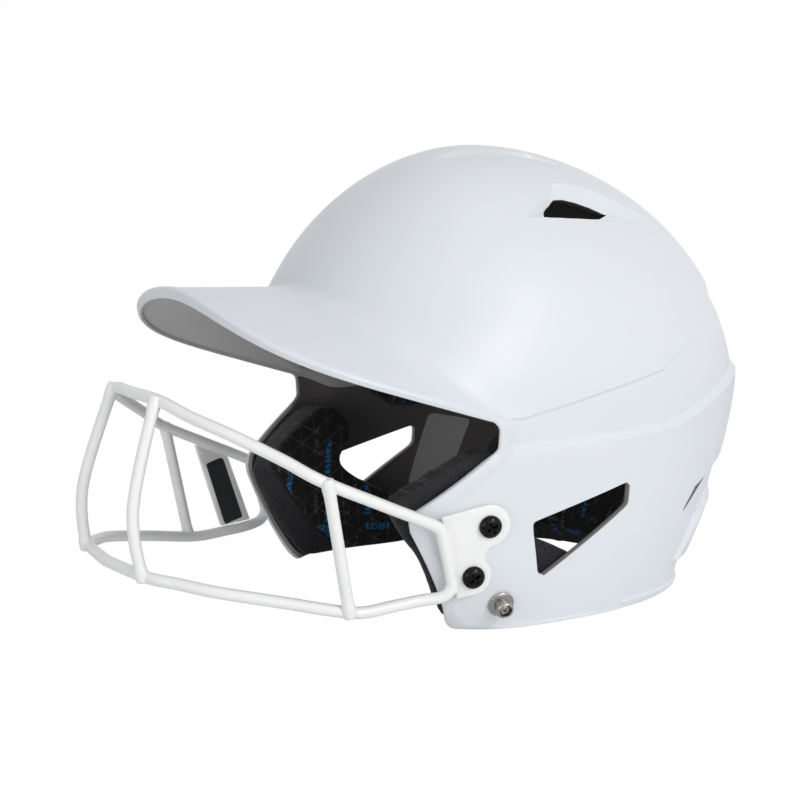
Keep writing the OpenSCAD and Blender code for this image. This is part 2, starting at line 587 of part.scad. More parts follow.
// Crowned cushion: shares of the way out from its middle, and shares of its thickness
pad_rings = [[0.5, 0], [0.94, 0], [0.99, 0.16], [0.97, 0.45], [0.995, 0.72], [0.93, 0.93], [0.75, 1.02],
    [0.4, 1.1]];
function fine(outline, step) = let(m = len(outline)) [for (i = [0:m - 1]) let(
        a = outline[i], b = outline[(i + 1) % m], n = ceil(norm(b - a)/step))
    for (k = [0:n - 1]) mix(a, b, k/n)];
pad_step = 11;
module cushion(kind, outline, middle, d0, t) {
    edge = fine(outline, pad_step);
    rings = [for (r = pad_rings) [for (q = edge)
        soft_point(kind, mix(middle, q, r[0]), d0 + t*r[1])]];
    ring_solid(soft_point(kind, middle, d0), rings, soft_point(kind, middle, d0 + t*1.12));
}
// Stiff foam moulded to the inside of the wall between two azimuths and two heights
module foam_patch(az, z, d0, t, cols, rows) {
    grid = function(d) [for (i = [0:cols]) [for (j = [0:rows])
        soft_point("wall", [mix(az[0], az[1], i/cols), mix(z[0], z[1], j/rows)], d)]];
    outer = grid(d0);
    inner = grid(d0 + t);
    n = cols + 1;
    points = concat([for (g = [outer, inner]) for (j = [0:rows]) for (i = [0:cols]) g[i][j]]);
    off = n*(rows + 1);
    edge = concat([for (i = [0:cols]) i], [for (j = [1:rows]) j*n + cols],
        [for (i = [cols - 1:-1:0]) rows*n + i], [for (j = [rows - 1:-1:1]) j*n]);
    m = len(edge);
    polyhedron(points, concat(
        [for (j = [0:rows - 1], i = [0:cols - 1]) let(a = j*n + i)
            each [[a, a + n + 1, a + 1], [a, a + n, a + n + 1]]],
        [for (j = [0:rows - 1], i = [0:cols - 1]) let(a = off + j*n + i)
            each [[a, a + 1, a + n + 1], [a, a + n + 1, a + n]]],
        [for (k = [0:m - 1]) let(a = edge[k], b = edge[(k + 1) % m])
            each [[a, b, b + off], [a, b + off, a + off]]]));
}

// Pads and foam keep their share of the shell's height. Their heights were read at a waist of 101.
pad_grow = waist_z/101;
function tall(list) = [for (p = list) [p[0], p[1]*pad_grow]];
// The side band is moulded deeper than the wall round it, so foam behind it starts deeper
flat_gap = 0.4;
foam_d0 = wall + seat_gap + flat_gap;
side_foam_d0 = foam_d0 + panel_step*1.1;
rear_foam_d0 = foam_d0 + panel_step*1.6;
front_foam_t = liner_t + 6;
rear_foam_t = liner_t + 6;
module front_liner() color("dimgray") from_crown()
    foam_patch([-50, 50], [122, 188]*pad_grow, foam_d0, front_foam_t, 14, 6);
module rear_liner() color("dimgray") from_crown()
    foam_patch([126, 234], [74, 160]*pad_grow, rear_foam_d0, rear_foam_t, 14, 7);
module side_liner() foam_patch([62, 112], [104, 168]*pad_grow, side_foam_d0, liner_t, 8, 6);
module side_liner_left() color("dimgray") from_crown() side_liner();
module side_liner_right() color("dimgray") from_crown() mirror([1, 0, 0]) side_liner();
crown_r = 38;
crown_mid = [0, 12];
function ring_points(c, rx, ry, n) = [for (i = [0:n - 1]) c + [rx*cos(360*i/n), ry*sin(360*i/n)]];
module crown_liner() color("dimgray") from_crown()
    cushion("crown", ring_points(crown_mid, crown_r, crown_r*1.2, 28), crown_mid, foam_d0 + 0.2, liner_t);
module crown_pad() color("slategray") from_crown()
    cushion("crown", ring_points(crown_mid, crown_r*0.85, crown_r, 28), crown_mid,
        foam_d0 + 0.2 + liner_t*1.12 + seat_gap, pad_t);

module forehead_pad() color("slategray") from_crown()
    cushion("wall", tall(rounded([[-46, 126], [-20, 116], [20, 116], [46, 126], [46, 158], [-46, 158]], 5, 3)),
        [0, 138*pad_grow], foam_d0 + front_foam_t + seat_gap + 0.3, pad_t);
module rear_pad() color("slategray") from_crown()
    cushion("wall", tall(rounded([[142, 84], [218, 84], [218, 130], [142, 130]], 10, 4)),
        [180, 107*pad_grow], rear_foam_d0 + rear_foam_t + seat_gap + 0.5, pad_t);
module temple_pad() cushion("wall", tall(rounded([[74, 106], [84, 92], [92, 86], [104, 86], [108, 92],
    [108, 128], [74, 132]], 3.5, 3)), [92, 109*pad_grow], side_foam_d0 + liner_t + seat_gap, pad_t);
module temple_pad_left() color("slategray") from_crown() temple_pad();
module temple_pad_right() color("slategray") from_crown() mirror([1, 0, 0]) temple_pad();
module nape_pad() color("slategray") from_crown()
    cushion("wall", tall(rounded([[141, 3], [219, 3], [222, 66], [138, 66]], 7, 4)),
        [180, 34*pad_grow], foam_d0 + 0.25, nape_pad_t);

// Ear pad with its outline as seen from the side, cut round the tee nuts and the snap's screw
ear_pad_outline = rounded([[-57, 3], [16, 3], [11, 22], [-12, 32], [-24, 50], [-18, 64], [-24, 78],
    [-55, 80], [-84, 61], [-86, 51]], 3, 3)*pad_grow;
module ear_pad() difference() {
    cushion("side", ear_pad_outline, [-46, 42]*pad_grow, foam_d0 + 0.7, ear_pad_t);
    guard_seat() for (s = screws) translate([s[0], s[1], -nut_back - nut_flange_t - 2])
        cylinder(d = nut_flange_d + 2, h = 40, $fn = 32);
    snap_seat() translate([0, 0, -nut_back - 5.5]) cylinder(d = stud_flange_d + 3, h = 40, $fn = 32);
}
module ear_pad_left() color("slategray") from_crown() ear_pad();
module ear_pad_right() color("slategray") from_crown() mirror([1, 0, 0]) ear_pad();

outer_shell();
guard_upper_wire();
guard_lower_wire();
guard_centre_upright_left();
guard_centre_upright_right();
guard_side_upright_left();
guard_side_upright_right();
guard_plate_left();
guard_plate_right();
guard_tab_plate();
guard_screws();
guard_tee_nuts();
snap_studs();
snap_screws();
snap_washers();
snap_nuts();
front_liner();
crown_liner();
rear_liner();
side_liner_left();
side_liner_right();
forehead_pad();
crown_pad();
rear_pad();
temple_pad_left();
temple_pad_right();
nape_pad();
ear_pad_left();
ear_pad_right();
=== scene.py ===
"""Looks of a batting helmet with a bolted wire face guard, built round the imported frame.

Shapes are worked out in millimetres from the crown axis, x to the wearer's left, y backwards
and z up from the bottom rim, and are moved to the frame and to metres as they become meshes."""
import math

import bpy
import numpy as np
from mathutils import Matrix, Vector
from mathutils.geometry import tessellate_polygon


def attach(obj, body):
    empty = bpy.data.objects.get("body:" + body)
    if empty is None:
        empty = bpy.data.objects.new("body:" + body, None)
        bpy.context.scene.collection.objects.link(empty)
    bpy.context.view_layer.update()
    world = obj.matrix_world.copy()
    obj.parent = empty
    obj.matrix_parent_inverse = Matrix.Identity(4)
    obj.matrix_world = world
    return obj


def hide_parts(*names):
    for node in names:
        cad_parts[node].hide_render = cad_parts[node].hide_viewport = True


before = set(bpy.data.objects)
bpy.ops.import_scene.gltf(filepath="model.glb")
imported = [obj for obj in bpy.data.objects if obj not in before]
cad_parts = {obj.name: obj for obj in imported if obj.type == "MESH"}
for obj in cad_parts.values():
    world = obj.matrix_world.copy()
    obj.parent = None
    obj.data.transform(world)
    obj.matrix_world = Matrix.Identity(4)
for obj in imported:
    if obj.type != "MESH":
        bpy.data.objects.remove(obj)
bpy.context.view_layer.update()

MM = 0.001
CROWN_Y = 24.875

# Shell, as in the part's source: lengths in millimetres, shares, and exponents ending in N
SHELL_HALF_W = 100.5
SHELL_FRONT = 116.0
SHELL_REAR = 152.0
WAIST_Z = 101.0
DOME_H = 124.0
WALL = 3.5
RIM_TUCK = 0.08
RIM_TUCK_N = 5
NAPE_TUCK = 0.31
NAPE_TUCK_N = 1.5
FRONT_TUCK = 0.34
FRONT_TUCK_N = 4.3
DOME_N = 1.9
PLAN_FRONT_N = 3.1
PLAN_REAR_N = 2.25
PLAN_TOP_N = 2.15

# Brim: its back ends lie beside the face opening, BRIM_END is their azimuth
BRIM_HALF_W = 100.0
BRIM_REACH = 118.0
BROW_Z = 157.0
BROW_END_Z = 103
BROW_N = 1.9
BRIM_END_Z = 99.5
BRIM_SLOPE = 0.31
BRIM_ARCH = 18.0
BRIM_N = 3.0
BRIM_T = 2.6
RIM_TIP_T = 5.0
RIM_END_T = 2.5
FACE_BACK = 47.3
BRIM_BACK = FACE_BACK + 0.2
BRIM_END = math.atan2(BRIM_HALF_W, BRIM_BACK)
# Angle behind the brim's ends over which its form fades into the side
BRIM_FADE = 0.22
# Size of the brow's fillet at the middle, at the brim's ends and at the sides
FILLET = (4, 18, 6)
# Distances from the brim's rim at which its bead rises, and the bead's height
RIM_BEAD = (4.6, 3.8, 3.1)
RIM_BEAD_OUT = 0.45

# Above this height only the crown is left, with its scoops
CROWN_Z = 150
# A cut's value at the places that it leaves alone
LEFT_ALONE = 50

# Rounding of a cut edge, and of a crisp one at the ear hole, slits and scoops
EDGE_R = 1.2
CRISP_EDGE_R = 0.35
# Side band: its depth, the heights over which it steps in at the upper line and out at the lower
# one, and the shoulder below it
PANEL_STEP = 1.2
UPPER_RUN = 1.4
LOWER_RUN = 4
SHOULDER_OUT = 0.9
# Bead and flare at the bottom rim
BEAD_OUT = 0.9
BEAD_H = 4.5
FLARE_OUT = 3.0
# Raised lip of the face opening: its height, and how far behind the edge it fades
LIP_OUT = 0.8
LIP_OUTER = 6.0
LIP_INNER = 3.8


def smooth(t):
    """Eased step: 3t^2 - 2t^3 with t held between 0 and 1."""
    c = np.clip(t, 0, 1)
    return c * c * (3 - 2 * c)


def mix(a, b, t):
    """Straight blend from a to b."""
    return a + (b - a) * t


def unit(v):
    """Vectors of a row scaled to length 1."""
    return v / np.maximum(np.linalg.norm(v, axis=-1, keepdims=True), 1e-12)


def plan_at(front, z, grow=0.0):
    """Half width, half length and exponent of the wall's plan at a height. Both halves shrink above
    the waist as a superellipse and below it by a tuck, a power of the depth. The exponent changes
    to the top's between 100 and 160 mm."""
    u = np.clip((z - WAIST_Z) / (DOME_H + grow), 0, 1)
    k = np.maximum(1 - u**DOME_N, 0) ** (1 / DOME_N)
    low = np.clip((WAIST_Z - z) / WAIST_Z, 0, 1.2)
    a = (SHELL_HALF_W + grow) * k * (1 - RIM_TUCK * low**RIM_TUCK_N)
    l_front = (SHELL_FRONT + grow) * (1 - FRONT_TUCK * low**FRONT_TUCK_N)
    l_rear = (SHELL_REAR + grow) * (1 - NAPE_TUCK * low**NAPE_TUCK_N)
    length = np.where(front, l_front, l_rear) * k
    n = mix(np.where(front, PLAN_FRONT_N, PLAN_REAR_N), PLAN_TOP_N, smooth((z - 100) / 60))
    return np.maximum(a, 1e-3), np.maximum(length, 1e-3), n


def wall_radius(az, z, grow=0.0):
    """Radius of the wall at azimuth az, where the plan is |x/a|^n + |y/l|^n = 1."""
    a, length, n = plan_at(np.cos(az) > 0, z, grow)
    s = (np.abs(np.sin(az)) / a) ** n + (np.abs(np.cos(az)) / length) ** n
    return s ** (-1 / n)


def side_x(y, z):
    """Half width of the wall at a place of the side view."""
    a, length, n = plan_at(y < 0, z)
    return a * np.maximum(1 - (np.abs(y) / length) ** n, 1e-6) ** (1 / n)


def polar(r, az, z):
    """Point at radius r, azimuth az from the front and height z."""
    r, az, z = np.broadcast_arrays(r, az, z)
    return np.stack([r * np.sin(az), -r * np.cos(az), z], -1)


def on_wall(az, z):
    """Point of the wall at an azimuth and height."""
    return polar(wall_radius(az, z), az, z)


def wall_out(az, z):
    """Outward normal of the wall, from the cross product of its two small steps."""
    across = on_wall(az + 0.01, z) - on_wall(az - 0.01, z)
    up = on_wall(az, z + 0.5) - on_wall(az, z - 0.5)
    return unit(np.cross(across, up))


# Step lines of the side band as azimuth in degrees and height, and the band's depth by azimuth
UPPER_LINE = np.array([[66, 102.2], [70, 101.5], [118, 118], [124.8, 124.7], [130.3, 130.5],
                       [137.3, 137.2], [141.9, 141.3], [149.3, 147.5], [154, 153], [159, 156],
                       [180, 157]])
LOWER_LINE = np.array([[64.6, 85.3], [100, 86.3], [122, 88.5], [141, 101], [152, 108], [180, 113]])
BAND_SINK = np.array([[64.6, 0], [68, 0.8], [110, 1.2], [180, 1.6]])


def upper_z(az):
    """Height of the brow at the front, which falls as the azimuth to the power 1.9, and of the
    upper step line behind it."""
    p = np.abs(az)
    front = BROW_Z - (BROW_Z - BROW_END_Z) * np.minimum(p / BRIM_END, 1) ** BROW_N
    side = np.interp(np.degrees(p), np.r_[math.degrees(BRIM_END), UPPER_LINE[:, 0]],
                     np.r_[BROW_END_Z, UPPER_LINE[:, 1]])
    return np.where(p < BRIM_END, front, side)


def lower_z(az):
    """Height of the lower step line."""
    return np.interp(np.degrees(np.abs(az)), LOWER_LINE[:, 0], LOWER_LINE[:, 1])


def rim_low(a):
    """Lower edge of the brim: a superellipse in plan, rising forwards in proportion and arched in
    the middle as (1 - x^2)^2."""
    x = BRIM_HALF_W * np.sign(np.sin(a)) * np.abs(np.sin(a)) ** (2 / BRIM_N)
    f = BRIM_REACH * np.maximum(np.cos(a), 0) ** (2 / BRIM_N)
    w = 1 - (x / BRIM_HALF_W) ** 2
    return np.stack([x, -BRIM_BACK - f, BRIM_END_Z + BRIM_SLOPE * f + BRIM_ARCH * w * w], -1)


def evenly(points, count):
    """Points at equal lengths along a polyline, its two ends kept."""
    s = np.r_[0, np.cumsum(np.linalg.norm(np.diff(points, axis=0), axis=1))]
    t = np.linspace(0, s[-1], count)
    return np.stack([np.interp(t, s, points[:, k]) for k in range(points.shape[1])], -1)


# Grid of the shell's outer surface: columns round the head, rows from the crown to the bottom
FRONT_COLS = 104
SIDE_COLS = 146
DOME_ROWS = 34
FILLET_ROWS = 7
PLAIN_ROWS = 11
ROUND_ROWS = 3
LIP_ROWS = 3
BAND_ROWS = 9
LOWER_ROWS = 20
BRIM_ROW = DOME_ROWS + FILLET_ROWS
BEAD_ROW = BRIM_ROW + PLAIN_ROWS
RIM_ROW = BEAD_ROW + len(RIM_BEAD) + ROUND_ROWS + LIP_ROWS
FOOT_ROW = RIM_ROW + BAND_ROWS
# Degrees from the front within which nothing is left beside the face and below it
FACE_GAP = 58
FOOT_GAP = 38


def bezier(a, b, c, t):
    """Quadratic curve from a to c, pulled towards b."""
    return a * (1 - t) ** 2 + b * 2 * t * (1 - t) + c * t**2


def brim_rows(az, rim, brow_z, soft, last):
    """Rows of the front columns below the dome's last row: a fillet at the brow, the brim's plain
    top, its bead, the rounded rim, and a band straight down to the lower step line."""
    up = np.array([0, 0, 1.0])
    rim_t = mix(RIM_TIP_T, RIM_END_T, (rim[:, 0] / BRIM_HALF_W) ** 2)
    brow = on_wall(az, brow_z)
    tip = rim + up * rim_t[:, None]
    run = np.linalg.norm(tip - brow, axis=1, keepdims=True)
    begin = mix(brow, tip, np.minimum(0.4, soft[:, None] / run))
    before_tip = tip + (brow - tip) / run * np.minimum(EDGE_R, run * 0.3)
    after_tip = tip - up * np.minimum(EDGE_R, rim_t[:, None] * 0.35)
    bead = np.minimum(np.array(RIM_BEAD)[:, None, None], run[None] * 0.3) / run[None]
    edge = rim + up * EDGE_R * 0.8
    foot = on_wall(az, lower_z(az))
    rows = [bezier(last, brow, begin, k / FILLET_ROWS) for k in range(1, FILLET_ROWS + 1)]
    rows += [mix(begin, before_tip, (1 - bead[0]) * k / PLAIN_ROWS)
             for k in range(1, PLAIN_ROWS + 1)]
    rows += [mix(begin, before_tip, 1 - share) for share in (*bead[1:], 0.0)]
    rows += [bezier(before_tip, tip, after_tip, k / ROUND_ROWS) for k in range(1, ROUND_ROWS + 1)]
    rows += [mix(after_tip, edge, k / LIP_ROWS) for k in range(1, LIP_ROWS + 1)]
    rows += [mix(edge, foot, k / BAND_ROWS) for k in range(1, BAND_ROWS + 1)]
    return np.stack(rows), rim_t


def side_rows(az, turned, end, start_z, end_start_z):
    """Rows of the side columns beside the brim's rows. Behind the brim's end column the heights
    spread from its spacing to an even one, and its stand-off from the wall fades out. The share
    of that end that is gone comes with them."""
    end_z = end[:, 2]
    end_extra = np.hypot(end[:, 0], end[:, 1]) - wall_radius(BRIM_END, end_z)
    share_end = (end_start_z - end_z) / (end_start_z - end_z[-1])
    share_even = np.arange(1, len(end_z) + 1) / len(end_z)
    gone = smooth((np.abs(turned) - BRIM_END) / BRIM_FADE)
    share = mix(share_end[:, None], share_even[:, None], gone[None, :])
    z = start_z - (start_z - lower_z(turned)) * share
    radius = wall_radius(az[None, :], z) + end_extra[:, None] * (1 - gone)[None, :]
    return polar(radius, az[None, :], z), gone


def shell_grid():
    """Rows by columns of points. A front column runs down the dome, through the brow's fillet,
    along the brim and over its rim; a side column runs straight down the wall. The fourth value
    is the wall's thickness, the fifth the row."""
    rim = evenly(rim_low(np.radians(np.linspace(-90, 90, 4001))), FRONT_COLS + 1)
    az_front = np.arctan2(rim[:, 0], -rim[:, 1])
    az_side = np.linspace(BRIM_END, 2 * math.pi - BRIM_END, SIDE_COLS + 1)[1:-1]
    az = np.r_[az_front, az_side]
    turned = np.where(az > math.pi, az - 2 * math.pi, az)
    front = np.arange(len(az)) <= FRONT_COLS
    brow_z = upper_z(turned)
    soft = np.where(front, mix(*FILLET[:2], smooth(np.abs(turned) / BRIM_END)),
                    mix(*FILLET[1:], smooth((np.abs(turned) - BRIM_END) / 0.3)))
    start_z = brow_z + soft * 0.7
    top = WAIST_Z + DOME_H
    t = (np.arange(1, DOME_ROWS + 1) / DOME_ROWS)[:, None]
    dome_z = start_z + (top - start_z) * np.cos(t * math.pi / 2) ** (2 / DOME_N)
    dome = on_wall(az[None, :], dome_z)

    front_part, rim_t = brim_rows(az_front, rim, brow_z[front], soft[front], dome[-1][front])
    side_part, gone = side_rows(az[~front], turned[~front], front_part[:, -1], start_z[~front],
                                start_z[FRONT_COLS])
    middle = np.concatenate([front_part, side_part], axis=1)

    shares = 1 - np.arange(1, LOWER_ROWS + 1) / LOWER_ROWS
    neck_z = BEAD_H + 5
    low_z = neck_z + (lower_z(turned)[None, :] - neck_z) * shares[:, None]
    bead_z = np.array([7.4, 5.3, BEAD_H, 2.8, EDGE_R])
    low_z = np.concatenate([low_z, np.repeat(bead_z[:, None], len(az), 1)])
    points = np.concatenate([dome, middle, on_wall(az[None, :], low_z)])

    wall = np.full(points.shape[:2], WALL)
    thin = (1 - smooth(np.arange(FILLET_ROWS + 1) / FILLET_ROWS))[:, None]
    wall[DOME_ROWS - 1:BRIM_ROW, :] = mix(BRIM_T, WALL, thin)
    wall[BRIM_ROW:FOOT_ROW, :] = BRIM_T
    wall[DOME_ROWS:FOOT_ROW, front] = np.minimum(wall[DOME_ROWS:FOOT_ROW, front], rim_t * 0.7)
    wall[:, ~front] = mix(wall[:, FRONT_COLS][:, None], WALL, gone[None, :])
    row = np.repeat(np.arange(len(points))[:, None], len(az), 1)
    return np.concatenate([points, wall[..., None], row[..., None]], -1), turned


def shell_sheet():
    """Vertices and triangles of the outer surface, closed at the crown and left out where the
    face opening and the front below it leave nothing."""
    grid, az = shell_grid()
    rows, cols = grid.shape[:2]
    verts = np.concatenate([[[0, 0, WAIST_Z + DOME_H, WALL, -1]], grid.reshape(-1, 5)])
    i, j = np.meshgrid(np.arange(rows - 1), np.arange(cols), indexing="ij")
    nxt = (j + 1) % cols
    a = 1 + i * cols + j
    b = 1 + i * cols + nxt
    away = np.degrees(np.maximum(np.abs(az[j]), np.abs(az[nxt])))
    gap = np.where(i < FOOT_ROW - 1, FACE_GAP, FOOT_GAP)
    hole = (j < FRONT_COLS) & (i >= RIM_ROW - 1) & (away < gap)
    a, b = a[~hole], b[~hole]
    quads = np.stack([a, a + cols, b + cols, b], -1)
    cap = np.stack([np.zeros(cols, int), 1 + np.arange(cols), 1 + (np.arange(cols) + 1) % cols], -1)
    return verts, np.concatenate([cap, quads[:, [0, 1, 2]], quads[:, [0, 2, 3]]])


def split_at(verts, tris, values, tol=0.03):
    """Cuts the triangles along the line where a value given at the vertices passes through zero.
    New vertices lie on the edges in proportion to the values at their ends."""
    v = np.where(np.abs(values) < tol, 0.0, values)
    s = np.sign(v)
    corner = s[tris]
    cut = (corner.min(1) < 0) & (corner.max(1) > 0)
    keep, t = tris[~cut], tris[cut]
    nxt = np.roll(t, -1, axis=1)
    crossing = s[t] * s[nxt] < 0
    lo = np.minimum(t, nxt)[crossing]
    hi = np.maximum(t, nxt)[crossing]
    n = len(verts)
    key, inverse = np.unique(lo.astype(np.int64) * n + hi, return_inverse=True)
    lo, hi = key // n, key % n
    w = (v[lo] / (v[lo] - v[hi]))[:, None]
    made = verts[lo] + (verts[hi] - verts[lo]) * w
    middle = np.full(t.shape, -1)
    middle[crossing] = n + inverse
    out = [keep]
    for turn in range(3):
        p = np.roll(t, -turn, axis=1)
        m = np.roll(middle, -turn, axis=1)
        two = (m[:, 0] >= 0) & (m[:, 2] >= 0)
        one = (m[:, 1] >= 0) & (m[:, 0] < 0) & (m[:, 2] < 0)
        p2, m2, p1, m1 = p[two], m[two], p[one], m[one]
        out += [np.stack([p2[:, 0], m2[:, 0], m2[:, 2]], -1),
                np.stack([m2[:, 0], p2[:, 1], p2[:, 2]], -1),
                np.stack([m2[:, 0], p2[:, 2], m2[:, 2]], -1),
                np.stack([p1[:, 0], p1[:, 1], m1[:, 1]], -1),
                np.stack([p1[:, 0], m1[:, 1], p1[:, 2]], -1)]
    return np.concatenate([verts, made]), np.concatenate(out), np.r_[v, np.zeros(len(made))]


def halve(verts, tris, near):
    """Halves the edges whose two ends are both near a detail, and cuts the triangles to match:
    those with three near corners into four, those with two into two."""
    nxt = np.roll(tris, -1, axis=1)
    both_near = near[tris] & near[nxt]
    some = both_near.any(1)
    keep, t, m = tris[~some], tris[some], both_near[some]
    after = nxt[some]
    n = len(verts)
    key, inverse = np.unique(np.minimum(t, after)[m].astype(np.int64) * n + np.maximum(t, after)[m],
                             return_inverse=True)
    middle = np.full(t.shape, -1)
    middle[m] = n + inverse
    out = [keep]
    whole_near = m.all(1)
    a, b, c = t[whole_near].T
    ab, bc, ca = middle[whole_near].T
    out += [np.stack(q, -1) for q in ((a, ab, ca), (b, bc, ab), (c, ca, bc), (ab, bc, ca))]
    for turn in range(3):
        one = ~whole_near & m[:, turn]
        p, q = np.roll(t[one], -turn, axis=1), middle[one][:, turn]
        out += [np.stack([p[:, 0], q, p[:, 2]], -1), np.stack([q, p[:, 1], p[:, 2]], -1)]
    return np.concatenate([verts, (verts[key // n] + verts[key % n]) / 2]), np.concatenate(out)


def side_of(values, tris):
    """Sign of each triangle's side of a line that it doesn't cross."""
    return values[tris].sum(1)


def line_distance(points, line):
    """Distance from each point to a polyline: the least over its pieces."""
    best = np.full(len(points), 1e9)
    for k in range(len(line) - 1):
        a, d = line[k], line[k + 1] - line[k]
        t = np.clip(((points - a) @ d) / max(d @ d, 1e-12), 0, 1)
        best = np.minimum(best, np.linalg.norm(points - a - t[:, None] * d, axis=1))
    return best


def inside(points, outline):
    """Whether each flat point lies within a closed outline, by counting crossings."""
    x, y = points[:, 0], points[:, 1]
    found = np.zeros(len(points), bool)
    for (x0, y0), (x1, y1) in zip(outline, np.roll(outline, -1, axis=0)):
        spans = (y0 > y) != (y1 > y)
        rise = y1 - y0 if y1 != y0 else 1e-12
        found ^= spans & (x < (x1 - x0) * (y - y0) / rise + x0)
    return found


def signed(points, outline):
    """Distance to a closed flat outline, positive within it."""
    d = line_distance(points, np.concatenate([outline, outline[:1]]))
    return np.where(inside(points, outline), d, -d)


def rounded(points, radii, steps=6):
    """Closed outline whose corners are replaced by arcs of the given radii."""
    points = np.asarray(points, float)
    out = []
    for p, before, after, r in zip(points, np.roll(points, 1, 0), np.roll(points, -1, 0), radii):
        a, b = unit(before - p), unit(after - p)
        half = math.acos(np.clip(a @ b, -1, 1)) / 2
        if r == 0:
            out.append(p)
            continue
        c = p + unit(a + b) * r / math.sin(half)
        q0, q1 = p + a * r / math.tan(half) - c, p + b * r / math.tan(half) - c
        a0, a1 = math.atan2(q0[1], q0[0]), math.atan2(q1[1], q1[0])
        turn = (a1 - a0 + math.pi) % (2 * math.pi) - math.pi
        angles = [a0 + turn * k / steps for k in range(steps + 1)]
        out += [c + r * np.array([math.cos(q), math.sin(q)]) for q in angles]
    return np.array(out)


CORNER_R = 4.0
FACE_OUTLINE = rounded([[-47.5, 140], [-47.4, 87], [-88.5, 57], [-61.9, 1.1], [-46, -0.6],
                        [-44, -60], [-300, -60], [-300, 140]], [0, 5, 8, 12, 0, 0, 0, 0])
EAR_OUTLINE = rounded([[-30.4, 52.3], [-25.4, 23.8], [26.6, 54.3], [27.9, 66.3]], [2.5, 3, 3, 2.5])
SCOOP_OUTLINE = np.array([[66.3, -11.2], [59.4, -1.1], [49.5, 15.5], [48.6, 26], [49.2, 37.2],
                          [50.6, 48], [51.2, 58.5], [51.4, 67.5], [51, 76.4], [50.6, 85.5],
                          [50.2, 94.7], [55, 85], [58.8, 75.9], [61.5, 61.9], [63.8, 49],
                          [65.6, 35.9], [66.8, 24], [67.3, 13.4], [67.2, 2]])
SCOOP_SLOT = np.array([[61.5, 4.5], [55.6, 13.9], [54.9, 20.1], [55, 26.5], [56.1, 37.3],
                       [57.7, 47.1], [61, 40], [63, 28], [64, 15], [63.5, 6]])
SLIT = np.array([[65.8, 39.8], [73.1, 48.1], [80.4, 55.3], [94.2, 60.3], [84.3, 53.6]])
REAR_CREASE = np.array([[100, -10], [107.5, 3.7], [116.2, 23.4], [128.3, 42.7], [139.4, 57.7],
                        [143.5, 62.3], [160, 70], [180, 72]])
CREASE_W = 0.4
GROOVE_DEEP = 0.8
# How much deeper the wall lies under the rear crease, at the sides and at the middle
REAR_STEP = (0.55, 1.9)
BLOCK_OUT = 1.3
BLOCK_RUN = 3.0
# Depths of the crown scoops at their front and rear, and their slopes from the three edges
SCOOP_DEEP = (8.5, 2.0)
SCOOP_SLOPES = (0.95, 0.55, 1.6)
# Fall of the facet beside the middle panel, and the width over which the surface comes back
SPINE_STEP = 1.6
SPINE_FADE = 26
REAR_BLOCK = np.array([[129, 14], [131.3, 19.1], [141.6, 40.5], [146, 44.5], [148, 50]])
SPINE_CREST = np.array([[15.5, -33.3], [14.1, -20.7], [13.4, -12], [13.6, -2.6], [15, 3],
                        [17.4, 6.8], [20, 14], [22.6, 21.5], [28, 30], [32.9, 35.8]])
SPINE_VALLEY = np.array([[15.5, -33.3], [18.1, -23.3], [20, -16], [21.5, -7.9], [22.2, 2],
                         [22.4, 9.6], [23, 18], [24.2, 26.6], [28, 31.5], [32.9, 35.8]])


def azimuth(p):
    """Azimuth of each point, 0 at the front."""
    return np.arctan2(p[:, 0], -p[:, 1])


def in_plan(p):
    """Plan view of each point, both halves folded on the wearer's left."""
    return np.stack([np.abs(p[:, 0]), p[:, 1]], -1)


def in_side(p):
    """Side view of each point."""
    return p[:, 1:3]


def plan_to_wall(outline, grow=0.0):
    """Points of the dome above a plan outline, found by halving the height between two bounds."""
    az = np.arctan2(outline[:, 0], -outline[:, 1])
    r = np.hypot(outline[:, 0], outline[:, 1])
    low = np.full(len(r), WAIST_Z)
    high = low + DOME_H + grow
    for _ in range(40):
        z = (low + high) / 2
        outside = wall_radius(az, z, grow) > r
        low, high = np.where(outside, z, low), np.where(outside, high, z)
    return np.stack([outline[:, 0], outline[:, 1], low], -1)


def folded(p):
    """Points with both halves folded on the wearer's left."""
    return np.stack([np.abs(p[:, 0]), p[:, 1], p[:, 2]], -1)


SCOOP_FRONT = plan_to_wall(evenly(SCOOP_OUTLINE[0:3], 12))
SCOOP_FAR = plan_to_wall(evenly(SCOOP_OUTLINE[2:11], 30))
SCOOP_NEAR = plan_to_wall(evenly(np.concatenate([SCOOP_OUTLINE[10:], SCOOP_OUTLINE[:1]]), 30))


def scoop_depth(p):
    """Depth of the crown scoops: the least of three slopes that fall from the outline, steep from
    the near edge, moderate from the front and gentle from the far edge, and shallower backwards."""
    q = folded(p)
    within = inside(q[:, :2], SCOOP_OUTLINE) & (p[:, 2] > CROWN_Z)
    front = line_distance(q, SCOOP_FRONT)
    far = line_distance(q, SCOOP_FAR)
    near = line_distance(q, SCOOP_NEAR)
    depth = mix(*SCOOP_DEEP, smooth((q[:, 1] + 5) / 90))
    for away, slope in zip((front, far, near), SCOOP_SLOPES):
        depth = np.minimum(depth, away * slope)
    return np.where(within, depth, 0)


def spine_sides(p):
    """Distance across the crown past the crest and past the valley line of the middle panel."""
    x, y = np.abs(p[:, 0]), p[:, 1]
    crest = x - np.interp(y, SPINE_CREST[:, 1], SPINE_CREST[:, 0])
    return crest, x - np.interp(y, SPINE_VALLEY[:, 1], SPINE_VALLEY[:, 0])


